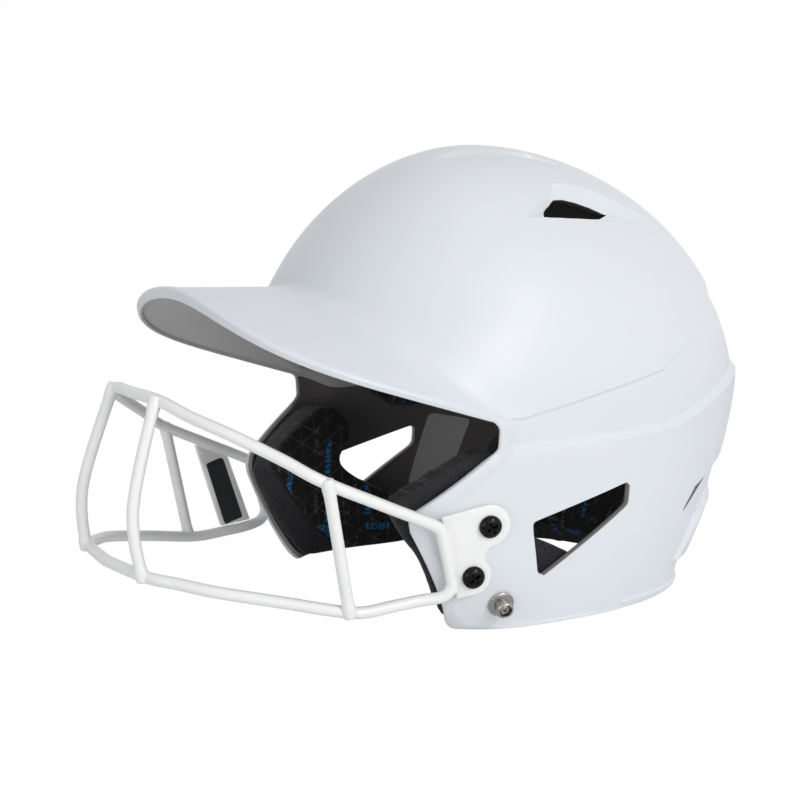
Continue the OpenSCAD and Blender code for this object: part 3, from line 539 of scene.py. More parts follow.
def spine_depth(p):
    """Depth beside the crown's middle panel: a facet falls evenly from the crest to the valley, and
    outside it the depth fades as a square."""
    crest, valley = spine_sides(p)
    most = SPINE_STEP * smooth((p[:, 1] + 33) / 12) * smooth((35.5 - p[:, 1]) / 10)
    most = most * smooth((p[:, 2] - 180) / 5)
    fall = np.clip(crest / np.maximum(crest - valley, 0.3), 0, 1)
    return most * fall * np.clip(1 - np.maximum(valley, 0) / SPINE_FADE, 0, 1) ** 2


def shell_relief(p, az, face):
    """How far the finished surface stands off the plain wall: the side band lies deeper between
    two step lines, the face opening has a raised lip, the bottom a bead and the nape a flare."""
    side = np.abs(az) > BRIM_END
    around = np.degrees(np.abs(az))
    depth = PANEL_STEP * np.interp(around, BAND_SINK[:, 0], BAND_SINK[:, 1])
    depth = np.where(side, depth, 0)
    below = np.clip((upper_z(az) - p[:, 2]) / UPPER_RUN, 0, 1)
    above = np.clip((p[:, 2] - lower_z(az)) / LOWER_RUN, 0, 1)
    shoulder = np.where(side, SHOULDER_OUT * smooth((around - 75) / 45), 0)
    under = np.clip(1 - (lower_z(az) - p[:, 2]) / 16, 0, 1) ** 2
    relief = -depth * below * above + shoulder * np.where(above > 0, 1 - above, under)
    lip = np.clip((LIP_OUTER - face) / (LIP_OUTER - LIP_INNER), 0, 1)
    lip = lip * smooth((101 - p[:, 2]) / 4) * (p[:, 1] < -20)
    bead = np.where(around < 107.5, np.interp(p[:, 2], [EDGE_R, 2.8], [1, 0]),
                    np.interp(p[:, 2], [BEAD_H, 5.3], [1, 0]))
    relief += np.maximum(LIP_OUT * np.maximum(lip, 0), BEAD_OUT * bead)
    relief += rear_relief(p, az)
    flare = FLARE_OUT * smooth((around - 105) / 40)
    return relief + flare * np.interp(p[:, 2], [0, BEAD_H, 5.3, 9.5], [1, 0.8, 0.6, 0])


def rear_sides(p, az):
    """Height under the rear crease, and distance behind the edge of the nape's raised block."""
    around = np.degrees(np.abs(az))
    crease = np.interp(around, REAR_CREASE[:, 0], REAR_CREASE[:, 1]) - p[:, 2]
    edge = np.interp(p[:, 2], REAR_BLOCK[:, 1], REAR_BLOCK[:, 0])
    return crease, (around - edge) * 2.0


def rear_relief(p, az):
    """A groove runs along the crease, under it the wall lies deeper, and the nape's block stands
    proud."""
    crease, block = rear_sides(p, az)
    around = np.degrees(np.abs(az))
    high = smooth((around - 124) / 14) * smooth((p[:, 2] - 18) / 24)
    step = mix(*REAR_STEP, high) * np.clip(crease / CREASE_W, 0, 1)
    step = step + GROOVE_DEEP * np.clip(1 - np.abs(crease) / CREASE_W, 0, 1)
    proud = np.clip(block / BLOCK_RUN, 0, 1) * np.clip((p[:, 2] - 16.4) / 0.9, 0, 1)
    proud = proud * smooth((50 - p[:, 2]) / 6)
    return mix(-step, BLOCK_OUT, proud) * (around > 100)


def vertex_normals(points, tris):
    """Unit sum of the normals of the triangles round each vertex."""
    n = np.cross(points[tris[:, 1]] - points[tris[:, 0]], points[tris[:, 2]] - points[tris[:, 0]])
    out = np.zeros_like(points)
    for k in range(3):
        np.add.at(out, tris[:, k], n)
    return unit(out)


def open_edges(tris, n):
    """Edges that only one triangle uses, in that triangle's direction."""
    e = np.concatenate([tris[:, [0, 1]], tris[:, [1, 2]], tris[:, [2, 0]]])
    key = e[:, 0].astype(np.int64) * n + e[:, 1]
    back = e[:, 1].astype(np.int64) * n + e[:, 0]
    return e[~np.isin(key, back)]


def walled(outer, inner, normals, tris, edge_r, under, steps=5):
    """Closed sheet from an outer and an inner surface of the same triangles. Their open edges are
    joined by a strip whose section is half an ellipse that bulges edge_r past the edge. The third
    result is each triangle's part: 0 outside, 1 an edge, 2 inside, 3 under the brim, painted
    lighter as light reaching under it, 4 a slot's wall, painted near black as its shade."""
    n = len(outer)
    edges = open_edges(tris, n)
    along = outer[edges[:, 1]] - outer[edges[:, 0]]
    out = unit(np.cross(along, normals[edges[:, 0]] + normals[edges[:, 1]]))
    push = np.zeros_like(outer)
    np.add.at(push, edges[:, 0], out)
    np.add.at(push, edges[:, 1], out)
    rim = np.unique(edges)
    place = np.full(n, -1)
    place[rim] = np.arange(len(rim))
    b = unit(push[rim])
    centre = (outer[rim] + inner[rim]) / 2
    half = (outer[rim] - inner[rim]) / 2
    angles = np.linspace(0, math.pi, steps + 2)[1:-1]
    bulge = b * edge_r[rim][:, None]
    strip = np.concatenate([centre + half * math.cos(a) + bulge * math.sin(a) for a in angles])
    points = np.concatenate([outer, inner, strip])
    rings = [rim] + [2 * n + k * len(rim) + np.arange(len(rim)) for k in range(steps)] + [rim + n]
    u, v = place[edges[:, 0]], place[edges[:, 1]]
    quads = np.concatenate([np.stack([r0[v], r0[u], r1[u], r1[v]], -1)
                            for r0, r1 in zip(rings, rings[1:])])
    kind = np.repeat(np.arange(steps + 1), len(edges))
    faces = np.concatenate([tris, tris[:, ::-1] + n, quads[:, [0, 1, 2]], quads[:, [0, 2, 3]]])
    painted = np.where(np.tile(edge_r[edges[:, 0]], steps + 1) < 1, 1, steps / 2)
    # Cut edges at the brim take the brim's lighter grey, painted light
    at_brim = np.zeros(n, bool)
    at_brim[tris[under]] = True
    # Cut walls high on the crown, the slots' walls, take near black: painted shade
    cut_face = np.where(outer[edges[:, 0], 2] > CROWN_Z, 4, 1)
    cut_face = np.tile(np.where(at_brim[edges[:, 0]], 3, cut_face), steps + 1)
    part = np.concatenate([np.zeros(len(tris), int), np.where(under, 3, 2),
                           np.tile(np.where(kind < painted, 0, cut_face), 2)])
    return points, faces, part


def under_brim(verts, behind):
    """Distance into the wall below the brim's rim, from the distance behind the face opening's
    edge: the two edges meet in a fillet."""
    rim = rim_low(np.radians(np.linspace(0, 90, 901)))
    az = np.abs(azimuth(verts))
    rim_z = np.interp(az, np.arctan2(rim[:, 0], -rim[:, 1]), rim[:, 2]) + EDGE_R * 0.8
    above = np.where(verts[:, 4] < RIM_ROW - 0.5, 0, np.minimum(verts[:, 2] - rim_z, 0))
    above = np.where(az > BRIM_END, -50, above)
    q1, q2 = CORNER_R + behind, CORNER_R + above
    return np.where((q1 > 0) & (q2 > 0), np.hypot(q1, q2) - CORNER_R, np.maximum(behind, above))


def shell_mesh():
    """The moulded shell: the sheet is cut along every step line and opening, given its relief and
    its wall, and closed."""
    verts, tris = shell_sheet()

    def cut(values, away=False, tol=0.03):
        """Splits the sheet where the values pass 0, and drops what lies below 0 if told to."""
        nonlocal verts, tris
        verts, tris, v = split_at(verts, tris, values, tol)
        if away:
            tris = tris[side_of(v, tris) > 0]

    def face():
        """Distance of each point behind the edge of the face opening."""
        return -signed(in_side(verts), FACE_OUTLINE)

    for reach in (5.5, 2.2):
        high = verts[:, 2] > CROWN_Z
        scoop = high & (signed(in_plan(verts), SCOOP_OUTLINE) > -reach)
        blade = ~high & (verts[:, 1] > 0) & (signed(in_side(verts), SLIT) > -reach * 0.7)
        spine = high & (np.abs(np.min(np.abs(spine_sides(verts)), axis=0)) < reach * 0.6) \
            & (verts[:, 1] > -36) & (verts[:, 1] < 38)
        crease, block = rear_sides(verts, azimuth(verts))
        low = (verts[:, 2] < 75) & (verts[:, 2] > 4) & (np.abs(azimuth(verts)) > 1.8)
        rear = low & ((np.abs(crease) < reach * 0.5) | (np.abs(block - 1.5) < reach * 0.6))
        verts, tris = halve(verts, tris, scoop | blade | spine | rear)
    brim = verts[:, 4] < RIM_ROW - 1.5
    cut(np.where(brim, LEFT_ALONE, under_brim(verts, face())), away=True)
    for level in (LIP_INNER, LIP_OUTER):
        low = (verts[:, 4] > RIM_ROW - 1) & (verts[:, 1] < 0)
        cut(np.where(low, face() - level, LEFT_ALONE))
    for sign, line, rise in ((-1, upper_z, -UPPER_RUN), (-1, upper_z, 0), (1, lower_z, 0),
                             (1, lower_z, LOWER_RUN)):
        az = azimuth(verts)
        over = sign * (verts[:, 2] - line(az) - rise)
        cut(np.where(np.abs(az) > BRIM_END + 0.02, over, LEFT_ALONE))
    for line, level in ((0, -CREASE_W), (0, 0), (0, CREASE_W), (1, 0), (1, BLOCK_RUN)):
        az = azimuth(verts)
        low = (verts[:, 2] < 78) & (verts[:, 2] > 5.5) & (np.abs(az) > 1.75)
        cut(np.where(low, rear_sides(verts, az)[line] - level, LEFT_ALONE), tol=0.06)
    cut(-signed(in_side(verts), EAR_OUTLINE), away=True)
    cut(-signed(in_side(verts), SLIT), away=True)
    high = verts[:, 2] > CROWN_Z
    cut(np.where(high, signed(in_plan(verts), SCOOP_OUTLINE), -LEFT_ALONE))
    high = verts[:, 2] > CROWN_Z
    cut(np.where(high, -signed(in_plan(verts), SCOOP_SLOT), LEFT_ALONE), away=True)
    for line in (0, 1):
        band = (verts[:, 2] > 180) & (verts[:, 1] > -33) & (verts[:, 1] < 35.5)
        cut(np.where(band, spine_sides(verts)[line], LEFT_ALONE), tol=0.1)

    used, tris = np.unique(tris, return_inverse=True)
    tris = tris.reshape(-1, 3)
    verts = verts[used]
    points, wall, row = verts[:, :3], verts[:, 3:4], verts[:, 4]
    normals = vertex_normals(points, tris)
    az = azimuth(points)
    sink = (scoop_depth(points) + spine_depth(points))[:, None]
    relief = shell_relief(points, az, face())[:, None]
    rim_bead = np.interp(row, [BEAD_ROW, BEAD_ROW + 1, RIM_ROW - 4, RIM_ROW - 1],
                         [0, RIM_BEAD_OUT, RIM_BEAD_OUT, 0])
    relief += (rim_bead * smooth((BRIM_END - np.abs(az)) / 0.3))[:, None]
    outer = points + normals * (relief - sink)
    inner = points - normals * (wall + sink)
    inner[:, 2] = np.maximum(inner[:, 2], EDGE_R)
    outer[:, 2] = np.maximum(outer[:, 2], EDGE_R)
    # Inside faces under the brim take the lighter grey: painted light
    under = (row >= DOME_ROWS - 4) & (row <= RIM_ROW + 0.5) & (points[:, 1] < 0)
    side_view = in_side(points)
    crisp = (points[:, 2] > CROWN_Z) & (signed(in_plan(points), SCOOP_OUTLINE) > -4)
    crisp |= (points[:, 1] > 0) & (signed(side_view, SLIT) > -2)
    crisp |= signed(side_view, EAR_OUTLINE) > -2
    edge_r = np.where(crisp, CRISP_EDGE_R, EDGE_R)
    return walled(outer, inner, normals, tris, edge_r, under[tris].all(axis=1))


def to_frame(points):
    """Points from millimetres about the crown axis to metres in the frame."""
    return (np.asarray(points) + [0, CROWN_Y, 0]) * MM


def outwards(points, faces):
    """The faces of a closed mesh, turned round if they enclose a negative volume."""
    a, b, c = points[faces[:, 0]], points[faces[:, 1]], points[faces[:, 2]]
    volume = (a * np.cross(b, c)).sum()
    if faces.shape[1] == 4:
        volume += (a * np.cross(c, points[faces[:, 3]])).sum()
    return faces if volume > 0 else faces[:, ::-1]


def fill_mesh(mesh, points, faces):
    """Puts points in millimetres and faces of equal size into a mesh."""
    co = to_frame(points).astype(np.float32)
    mesh.vertices.add(len(co))
    mesh.vertices.foreach_set("co", co.ravel())
    size = faces.shape[1]
    mesh.loops.add(faces.size)
    mesh.loops.foreach_set("vertex_index", faces.ravel().astype(np.int32))
    mesh.polygons.add(len(faces))
    mesh.polygons.foreach_set("loop_start", np.arange(0, faces.size, size, dtype=np.int32))
    mesh.polygons.foreach_set("loop_total", np.full(len(faces), size, np.int32))
    mesh.polygons.foreach_set("use_smooth", np.ones(len(faces), bool))
    mesh.update(calc_edges=True)


def add_piece(name, points, faces, materials, slot, replaces=(), part=None, sharp=35, lie=None):
    """New object from points in millimetres and faces of three or four corners. part gives each
    face's material by its place in the list, and lie a vector at each point for a material."""
    mesh = bpy.data.meshes.new(name)
    fill_mesh(mesh, points, outwards(points, np.asarray(faces)))
    for m in materials:
        mesh.materials.append(m)
    if part is not None:
        mesh.polygons.foreach_set("material_index", np.asarray(part, np.int32))
    if lie is not None:
        held = mesh.attributes.new("lie", "FLOAT_VECTOR", "POINT")
        held.data.foreach_set("vector", lie.astype(np.float32).ravel())
    if sharp:
        mesh.set_sharp_from_angle(angle=math.radians(sharp))
    obj = bpy.data.objects.new(name, mesh)
    bpy.context.scene.collection.objects.link(obj)
    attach(obj, "root")
    if replaces:
        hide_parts(*replaces)
    return obj


def tube(path, radius, sides=20):
    """Closed round bar along a path. radius is one value or one for each point, and flat rounded
    caps end it."""
    path = np.asarray(path, float)
    m = len(path)
    radius = np.broadcast_to(radius, m).astype(float)
    along = unit(np.gradient(path, axis=0))
    level = np.stack([path[:, 0], path[:, 1], np.zeros(m)], -1)
    side = unit(np.cross(along, level))
    other = np.cross(side, along)
    caps = np.radians([90, 75, 55, 30])
    bulge = along * radius[:, None] * 0.35
    start = [(path[0] - bulge[0] * math.sin(a), radius[0] * math.cos(a), 0) for a in caps]
    stop = [(path[-1] + bulge[-1] * math.sin(a), radius[-1] * math.cos(a), -1)
            for a in caps[::-1]]
    rings = start[1:] + [(path[k], radius[k], k) for k in range(m)] + stop[:-1]
    t = np.linspace(0, 2 * math.pi, sides, endpoint=False)
    body = np.concatenate([c + (side[k] * np.cos(t)[:, None] + other[k] * np.sin(t)[:, None]) * r
                           for c, r, k in rings])
    points = np.concatenate([[start[0][0]], body, [stop[-1][0]]])
    return points, ring_faces(len(rings), sides)


def ring_faces(rings, n):
    """Triangles of a closed surface of rings between two poles."""
    j = np.arange(n)
    k = (j + 1) % n
    first = np.stack([np.zeros(n, int), 1 + k, 1 + j], -1)
    i = np.arange(rings - 1)[:, None]
    a, b = 1 + i * n + j, 1 + i * n + k
    quads = np.concatenate([np.stack([a, b, b + n], -1).reshape(-1, 3),
                            np.stack([a, b + n, a + n], -1).reshape(-1, 3)])
    end = 1 + (rings - 1) * n
    last = np.stack([end + j, end + k, np.full(n, end + n)], -1)
    return np.concatenate([first, quads, last])


def span(a, b, c, d, n):
    """The first n of n + 1 points from b to c, on the cubic that has half the step from a to c as
    its slope at b and half the step from b to d at c."""
    t = (np.arange(n) / n)[:, None]
    square = (2 * a - 5 * b + 4 * c - d) * t**2
    return (2 * b + (c - a) * t + square + (3 * b - a - 3 * c + d) * t**3) / 2


def catmull(p, n):
    """Smooth path through chosen points, n steps between each two."""
    p = np.asarray(p, float)
    ext = np.concatenate([p[:1], p, p[-1:]])
    out = [span(*four, n) for four in zip(ext, ext[1:], ext[2:], ext[3:])]
    return np.concatenate(out + [p[-1:]])


def joined(parts):
    """Several meshes as one: points and faces one after another."""
    points, faces, base = [], [], 0
    for p, f in parts:
        points.append(p)
        faces.append(np.asarray(f) + base)
        base += len(p)
    return np.concatenate(points), np.concatenate(faces)


def mirrored(points, faces):
    """The same mesh on the wearer's other side, with its faces turned to point outwards again."""
    return points * [-1, 1, 1], np.asarray(faces)[:, ::-1]


def both(points, faces):
    """A mesh and its twin on the other side."""
    return joined([(points, faces), mirrored(points, faces)])


# Where the guard and the snap studs are fixed to the shell: origins and local axes
def turned_axes(turn, lean):
    """Local forward, up and outward directions of a seat that is turned and leaned."""
    t, a = math.radians(-turn), math.radians(lean)
    leaned = np.array([[0, -1, 0], [math.sin(a), 0, math.cos(a)], [math.cos(a), 0, -math.sin(a)]])
    x, y, z = leaned.T
    return np.stack([x * math.cos(t) - y * math.sin(t), x * math.sin(t) + y * math.cos(t), z], -1)


SEAT = np.array([97.9949, -53.5, 53.6])
SEAT_AXES = turned_axes(14, 6)
SNAP = np.array([94.4504, -43.8, 14.5])
SNAP_AXES = turned_axes(12.5, 18)
SCREWS = np.array([[0, 0], [7.1, -23.7]])
PLATE_T = 2.0
WIRE_R = 2.75
WIRE_OUT = 3.5


def at_seat(local, origin=SEAT, axes=SEAT_AXES):
    """Points given forward, up and outward from a seat's origin."""
    return origin + np.asarray(local, float) @ axes


PLATE_RUN = at_seat([[25.7, 2, WIRE_OUT], [23.4, -2, WIRE_OUT], [20.2, -14.5, WIRE_OUT],
                     [17.4, -26.5, WIRE_OUT]])
UPPER_HALF = np.array([[0, -184.45, 112], [26, -181.55, 111], [43.4, -175.05, 105.7],
                       [61, -164.05, 99.4], [77, -147.05, 89.2], [87, -133.05, 80],
                       [91.5, -103.8, 66.5]])
LOWER_HALF = np.array([[0, -199, 35], [35, -194.05, 34.3], [50.2, -184.05, 33],
                       [62, -172.75, 30.7], [74.5, -146.75, 25.3], [86, -117, 19],
                       [87.5, -99, 19.5], [88.7, -84.5, 20.5]])
LOWER_TURN = at_seat([[20.6, -31.5, WIRE_OUT]])


def whole(half):
    """A bar from one side to the other, from the half on the wearer's left."""
    return np.concatenate([half[:0:-1] * [-1, 1, 1], half])


def crossing(path, k, v):
    """Where a path crosses a value of one coordinate: the point and the direction there."""
    i = np.nonzero((path[:-1, k] - v) * (path[1:, k] - v) <= 0)[0][0]
    t = (v - path[i, k]) / (path[i + 1, k] - path[i, k])
    return mix(path[i], path[i + 1], t), unit(path[i + 1] - path[i])


def eased(path, step=1.0, reach=5):
    """The path at even steps, each point averaged with those within reach: bends get a radius."""
    p = evenly(path, int(np.linalg.norm(np.diff(path, axis=0), axis=1).sum() / step) + 1)
    ext = np.concatenate([2 * p[0] - p[reach:0:-1], p, 2 * p[-1] - p[-2:-reach - 2:-1]])
    weight = np.hanning(2 * reach + 3)[1:-1]
    return sum(w * ext[k:k + len(p)] for k, w in enumerate(weight / weight.sum()))


UPPER_PATH = eased(catmull(np.concatenate([UPPER_HALF, PLATE_RUN]), 10))
LOWER_JOIN = mix(LOWER_TURN, PLATE_RUN[3:], 0.6)
LOWER_PATH = eased(catmull(np.concatenate([LOWER_HALF, LOWER_TURN, LOWER_JOIN, PLATE_RUN[3:]]), 10))


def upright(top_at, low_at, bulge):
    """A short bar whose ends sink into the outer side of the two long bars. A weld flares each
    end: the radius grows by 0.16 of a bell curve of the distance from it."""
    (p0, d0), (p1, d1) = top_at, low_at
    out0, out1 = unit(np.cross(d0, [0, 0, 1])), unit(np.cross(d1, [0, 0, 1]))
    a = p0 + out0 * 1.7 + np.array([0, 0, 1.6])
    b = p1 + out1 * 1.7 - np.array([0, 0, 1.6])
    path = catmull([a, mix(a, b, 0.6) + [0, -bulge, 0], b], 24)
    s = np.r_[0, np.cumsum(np.linalg.norm(np.diff(path, axis=0), axis=1))]
    near = np.minimum(s, s[-1] - s)
    return tube(path, WIRE_R * (1 + 0.16 * np.exp(-((near - 3.5) / 2.6) ** 2)), 20)


def weld_pool(centre, out, along, size):
    """Low rounded pool of weld metal: an ellipsoid squashed along its outward direction."""
    out, along = unit(out), unit(along)
    side = np.cross(along, out)
    lat = np.radians(np.linspace(90, -90, 11)[1:-1])
    t = np.linspace(0, 2 * math.pi, 20, endpoint=False)
    round_it = size[0] * np.cos(t)[:, None] * along + size[1] * np.sin(t)[:, None] * side
    rings = [centre + size[2] * math.sin(a) * out + math.cos(a) * round_it for a in lat]
    points = np.concatenate([[centre + size[2] * out], *rings, [centre - size[2] * out]])
    return points, ring_faces(len(lat), len(t))[:, ::-1]


# Side plate outline, as in the part's source
LOBE_UPPER_R, LOBE_LOWER_R, NECK_R = 10.0, 9.0, 5.0


def arc(c, r, a0, a1, n):
    """Points of an arc between two angles in degrees."""
    t = np.radians(np.linspace(a0, a1, n + 1))
    return np.asarray(c) + r * np.stack([np.cos(t), np.sin(t)], -1)


def heading(v):
    """Direction of a flat vector in degrees."""
    return math.degrees(math.atan2(v[1], v[0]))


def plate_outline():
    """Two lobes round the screws, a neck between them and a straight front edge at the wire."""
    def front(y):
        """Point of the front edge at a height: behind the wire, which it sinks into a little."""
        x = np.interp(y, [-45, -27, -14.5, -2, 12], [16.2, 16.9, 20.2, 23.6, 26.4])
        return np.array([x - WIRE_R + 0.7, y])

    gap = SCREWS[1]
    d = np.linalg.norm(gap)
    r1, r2 = LOBE_UPPER_R + NECK_R, LOBE_LOWER_R + NECK_R
    t = (d * d + r1 * r1 - r2 * r2) / (2 * d)
    u = gap / d
    neck = t * u + math.sqrt(r1 * r1 - t * t) * np.array([u[1], -u[0]])
    high, foot = front(5.6), front(-33.9)
    top = heading(high) + math.degrees(math.acos(LOBE_UPPER_R / np.linalg.norm(high)))
    to_foot = foot - gap
    low = heading(to_foot) - math.degrees(math.acos(LOBE_LOWER_R / np.linalg.norm(to_foot)))
    to_neck, from_neck = heading(neck), heading(neck - gap)
    return np.concatenate([
        arc([0, 0], LOBE_UPPER_R, top, to_neck + 360, 40),
        arc(neck, NECK_R, to_neck + 180, from_neck - 180, 18)[1:-1],
        arc(gap, LOBE_LOWER_R, from_neck, low + 360, 28),
        [foot], [front(-27)], [front(-20)], [front(-14.5)], [front(-8)], [front(-2)], [high]])


def slab(outline, thick, edge, origin, axes):
    """Flat plate with rounded edges: rings of the outline drawn in towards its middle."""
    n = len(outline)
    prev, nxt = np.roll(outline, 1, 0), np.roll(outline, -1, 0)
    t = unit(nxt - prev)
    normal = np.stack([t[:, 1], -t[:, 0]], -1)
    steps = [(edge, 0), (edge * 0.3, edge * 0.3), (0, edge), (0, thick - edge),
             (edge * 0.3, thick - edge * 0.3), (edge, thick)]
    rings = [np.concatenate([outline - normal * inset, np.full((n, 1), z)], 1)
             for inset, z in steps]
    points = at_seat(np.concatenate(rings), origin, axes)
    j = np.arange(n)
    k = (j + 1) % n
    sides = []
    for i in range(len(steps) - 1):
        a, b = i * n + j, i * n + k
        sides += [np.stack([a, b, b + n], -1), np.stack([a, b + n, a + n], -1)]
    return points, np.concatenate(sides), n


def plate_mesh():
    """The side plate: its rounded slab, with the two flat faces filled by triangles."""
    outline = plate_outline()
    points, sides, n = slab(outline, PLATE_T, 0.7, SEAT, SEAT_AXES)
    fill = fill_outline(outline)
    return points, np.concatenate([sides, fill + 5 * n, fill[:, ::-1]])


def fill_outline(outline):
    """Triangles that fill a flat outline, by cutting off one ear after another."""
    return np.array(tessellate_polygon([[(x, y, 0) for x, y in outline]]))


def cross_field(x, y, size, width):
    """Negative within a cross recess: distance beyond its two bars."""
    a, b = np.abs(x), np.abs(y)
    level_bar = np.maximum(a - size / 2, b - width / 2)
    return np.minimum(level_bar, np.maximum(b - size / 2, a - width / 2))


def lathe(profile, origin, axes, sides=48, cross=None):
    """Turned piece: a profile of radius and height pairs carried round its axis. cross is the
    height of a recessed top with the recess's size, width, depth and turn."""
    profile = np.asarray(profile, float)
    t = np.linspace(0, 2 * math.pi, sides, endpoint=False)
    rings = [np.stack([r * np.cos(t), r * np.sin(t), np.full(sides, z)], -1)
             for r, z in profile[1:-1]]
    points = np.concatenate([[[0, 0, profile[0][1]]], *rings, [[0, 0, profile[-1][1]]]])
    faces = ring_faces(len(rings), sides)
    if cross is not None:
        z_min, size, width, deep, turn = cross
        c, s = math.cos(turn), math.sin(turn)

        def field(p):
            """Distance of each point beyond the recess, and 9 below its top."""
            x, y = p[:, 0] * c + p[:, 1] * s, p[:, 1] * c - p[:, 0] * s
            return np.where(p[:, 2] > z_min, cross_field(x, y, size, width), 9)

        points, faces, _ = split_at(points, faces, field(points), 0.001)
        points, faces, _ = split_at(points, faces, field(points) + 0.2, 0.001)
        f = field(points)
        r = np.hypot(points[:, 0], points[:, 1])
        floor = deep * np.clip(1.25 - r / size * 1.3, 0.3, 1)
        points = points.copy()
        points[:, 2] -= np.clip(-f / 0.2, 0, 1) * floor
    return at_seat(points, origin, axes), faces


def screw_head(origin_xy, turn):
    """Pan head with a rounded shoulder and a cross recess."""
    r, h = 5.25, 3.4
    a = np.radians(np.arange(0, 91, 9))
    shoulder = [(r - h * 0.55 * (1 - math.cos(q)) - q / (math.pi / 2) * 1.6,
                 h * (0.45 + 0.55 * math.sin(q))) for q in a]
    top = [(v, h + 0.06 * (1 - (v / 2) ** 2)) for v in np.linspace(shoulder[-1][0], 0, 18)[1:]]
    profile = [(0, 0.02), (r - 0.3, 0.02), (r, 0.3), *shoulder, *top]
    origin = at_seat([origin_xy[0], origin_xy[1], PLATE_T])
    return lathe(profile, origin, SEAT_AXES, 72, (h - 1.2, 5.6, 1.15, 2.0, turn))


def snap_parts():
    """The stud's flange and hollow barrel, and the screw head in its bore."""
    stud = [(0, 0.02), (5.9, 0.02), (6.2, 0.3), (6.2, 0.7), (5.9, 1.0), (5.4, 1.15), (5.3, 1.5),
            (4.6, 1.7), (3.75, 1.9), (3.6, 2.4), (3.6, 3.4), (3.8, 3.9), (4.25, 4.3), (4.3, 4.7),
            (4.3, 5.3), (4.1, 5.7), (3.9, 6.2), (3.6, 6.5), (3.3, 6.6), (3.0, 6.45), (2.95, 6.1),
            (2.95, 4.4), (0, 4.4)]
    head = [(0, 4.3), (2.3, 4.3), (2.55, 4.6), (2.5, 5.1), (2.2, 5.5), (1.6, 5.7)]
    head += [(v, 5.75) for v in np.linspace(1.4, 0, 9)]
    return (lathe(stud, SNAP, SNAP_AXES, 64),
            lathe(head, SNAP, SNAP_AXES, 64, (5.2, 2.6, 0.65, 0.9, 0.5)))


# Materials
def linear(code):
    """An sRGB hex colour as linear red, green, blue and alpha."""
    v = np.array([int(code[k:k + 2], 16) for k in (0, 2, 4)]) / 255
    low = v / 12.92
    high = ((v + 0.055) / 1.055) ** 2.4
    return [*np.where(v <= 0.04045, low, high).tolist(), 1.0]


def fill_inputs(node, inputs):
    """Gives a node's inputs their values, or links them to a socket or to a node's first output."""
    for key, value in inputs.items():
        if isinstance(value, bpy.types.Node):
            value = value.outputs[0]
        if isinstance(value, bpy.types.NodeSocket):
            node.id_data.links.new(value, node.inputs[key])
        else:
            node.inputs[key].default_value = value


def add_node(tree, kind, inputs=None, **settings):
    """Adds a node with its settings, and fills its inputs."""
    node = tree.nodes.new(kind)
    for key, value in settings.items():
        setattr(node, key, value)
    fill_inputs(node, inputs or {})
    return node


def new_material(name):
    """Empty material with its shader and output, and the shader for the caller to fill."""
    m = bpy.data.materials.new(name)
    m.use_nodes = True
    m.node_tree.nodes.clear()
    shader = add_node(m.node_tree, "ShaderNodeBsdfPrincipled")
    add_node(m.node_tree, "ShaderNodeOutputMaterial", {"Surface": shader})
    return m, m.node_tree, shader


def noise_between(tree, scale, low, high, detail=2.0):
    """Object-space noise mapped to lie between two values."""
    co = add_node(tree, "ShaderNodeTexCoord")
    noise = add_node(tree, "ShaderNodeTexNoise", {"Vector": co.outputs["Object"], "Scale": scale,
                                                  "Detail": detail, "Roughness": 0.5})
    return add_node(tree, "ShaderNodeMapRange", {"Value": noise.outputs["Fac"], "From Min": 0.3,
                                                 "From Max": 0.7, "To Min": low, "To Max": high})


def coated(name, code, rough, spread, grain_mm, depth_mm, ior=1.5):
    """Painted or powder-coated surface: one colour, with the coat's fine orange peel."""
    m, tree, shader = new_material(name)
    peel = noise_between(tree, 1000 / grain_mm / 2, 0, 1, 1.0)
    bump = add_node(tree, "ShaderNodeBump", {"Height": peel, "Distance": depth_mm * MM})
    fill_inputs(shader, {"Base Color": linear(code), "IOR": ior, "Normal": bump,
                         "Roughness": noise_between(tree, 60, rough - spread, rough + spread)})
    return m


# ABS with sprayed satin paint: cool white, broad soft highlights
shell_paint = coated("satin_white_paint_on_abs", "E4E7EA", 0.42, 0.03, 1.6, 0.012)
# Bare ABS inside and at cut edges: dark warm grey, a little shine
bare_abs = coated("bare_grey_abs", "6C6866", 0.5, 0.05, 1.2, 0.02)
# Underside of the brim: the inside's plastic, painted lighter as light that reaches under it
brim_lit_abs = coated("painted_light_brim_abs", "C9C7C6", 0.5, 0.05, 1.2, 0.02)
# Walls of the crown's slots: near black, painted shade deep in the slots
slot_shade_abs = coated("painted_shade_slot_abs", "161514", 0.6, 0.05, 1.2, 0.02)
# Cut edge of the moulding, where paint thins over grey plastic
edge_abs = coated("cut_edge_abs", "8E8B88", 0.5, 0.05, 1.2, 0.02)
# Polyester powder coat on steel wire: slightly warm white, soft gloss and fine peel
powder_coat = coated("white_powder_coat", "F8F8F5", 0.33, 0.04, 1.4, 0.02)
# Black oxide screws under oil: near black with small sharp highlights
black_oxide = coated("black_oxide_steel", "08080A", 0.16, 0.03, 0.8, 0.004, 1.28)


def bright_steel(name, code, rough):
    """Turned stainless steel: fine rings left by the tool show as a slight spread of roughness."""
    m, tree, shader = new_material(name)
    fill_inputs(shader, {"Base Color": linear(code), "Metallic": 1.0,
                         "Roughness": noise_between(tree, 900, rough - 0.06, rough + 0.08)})
    return m


stainless = bright_steel("turned_stainless_steel", "A5A29D", 0.19)
zinc_plate = bright_steel("zinc_plated_steel", "A9ABAD", 0.36)


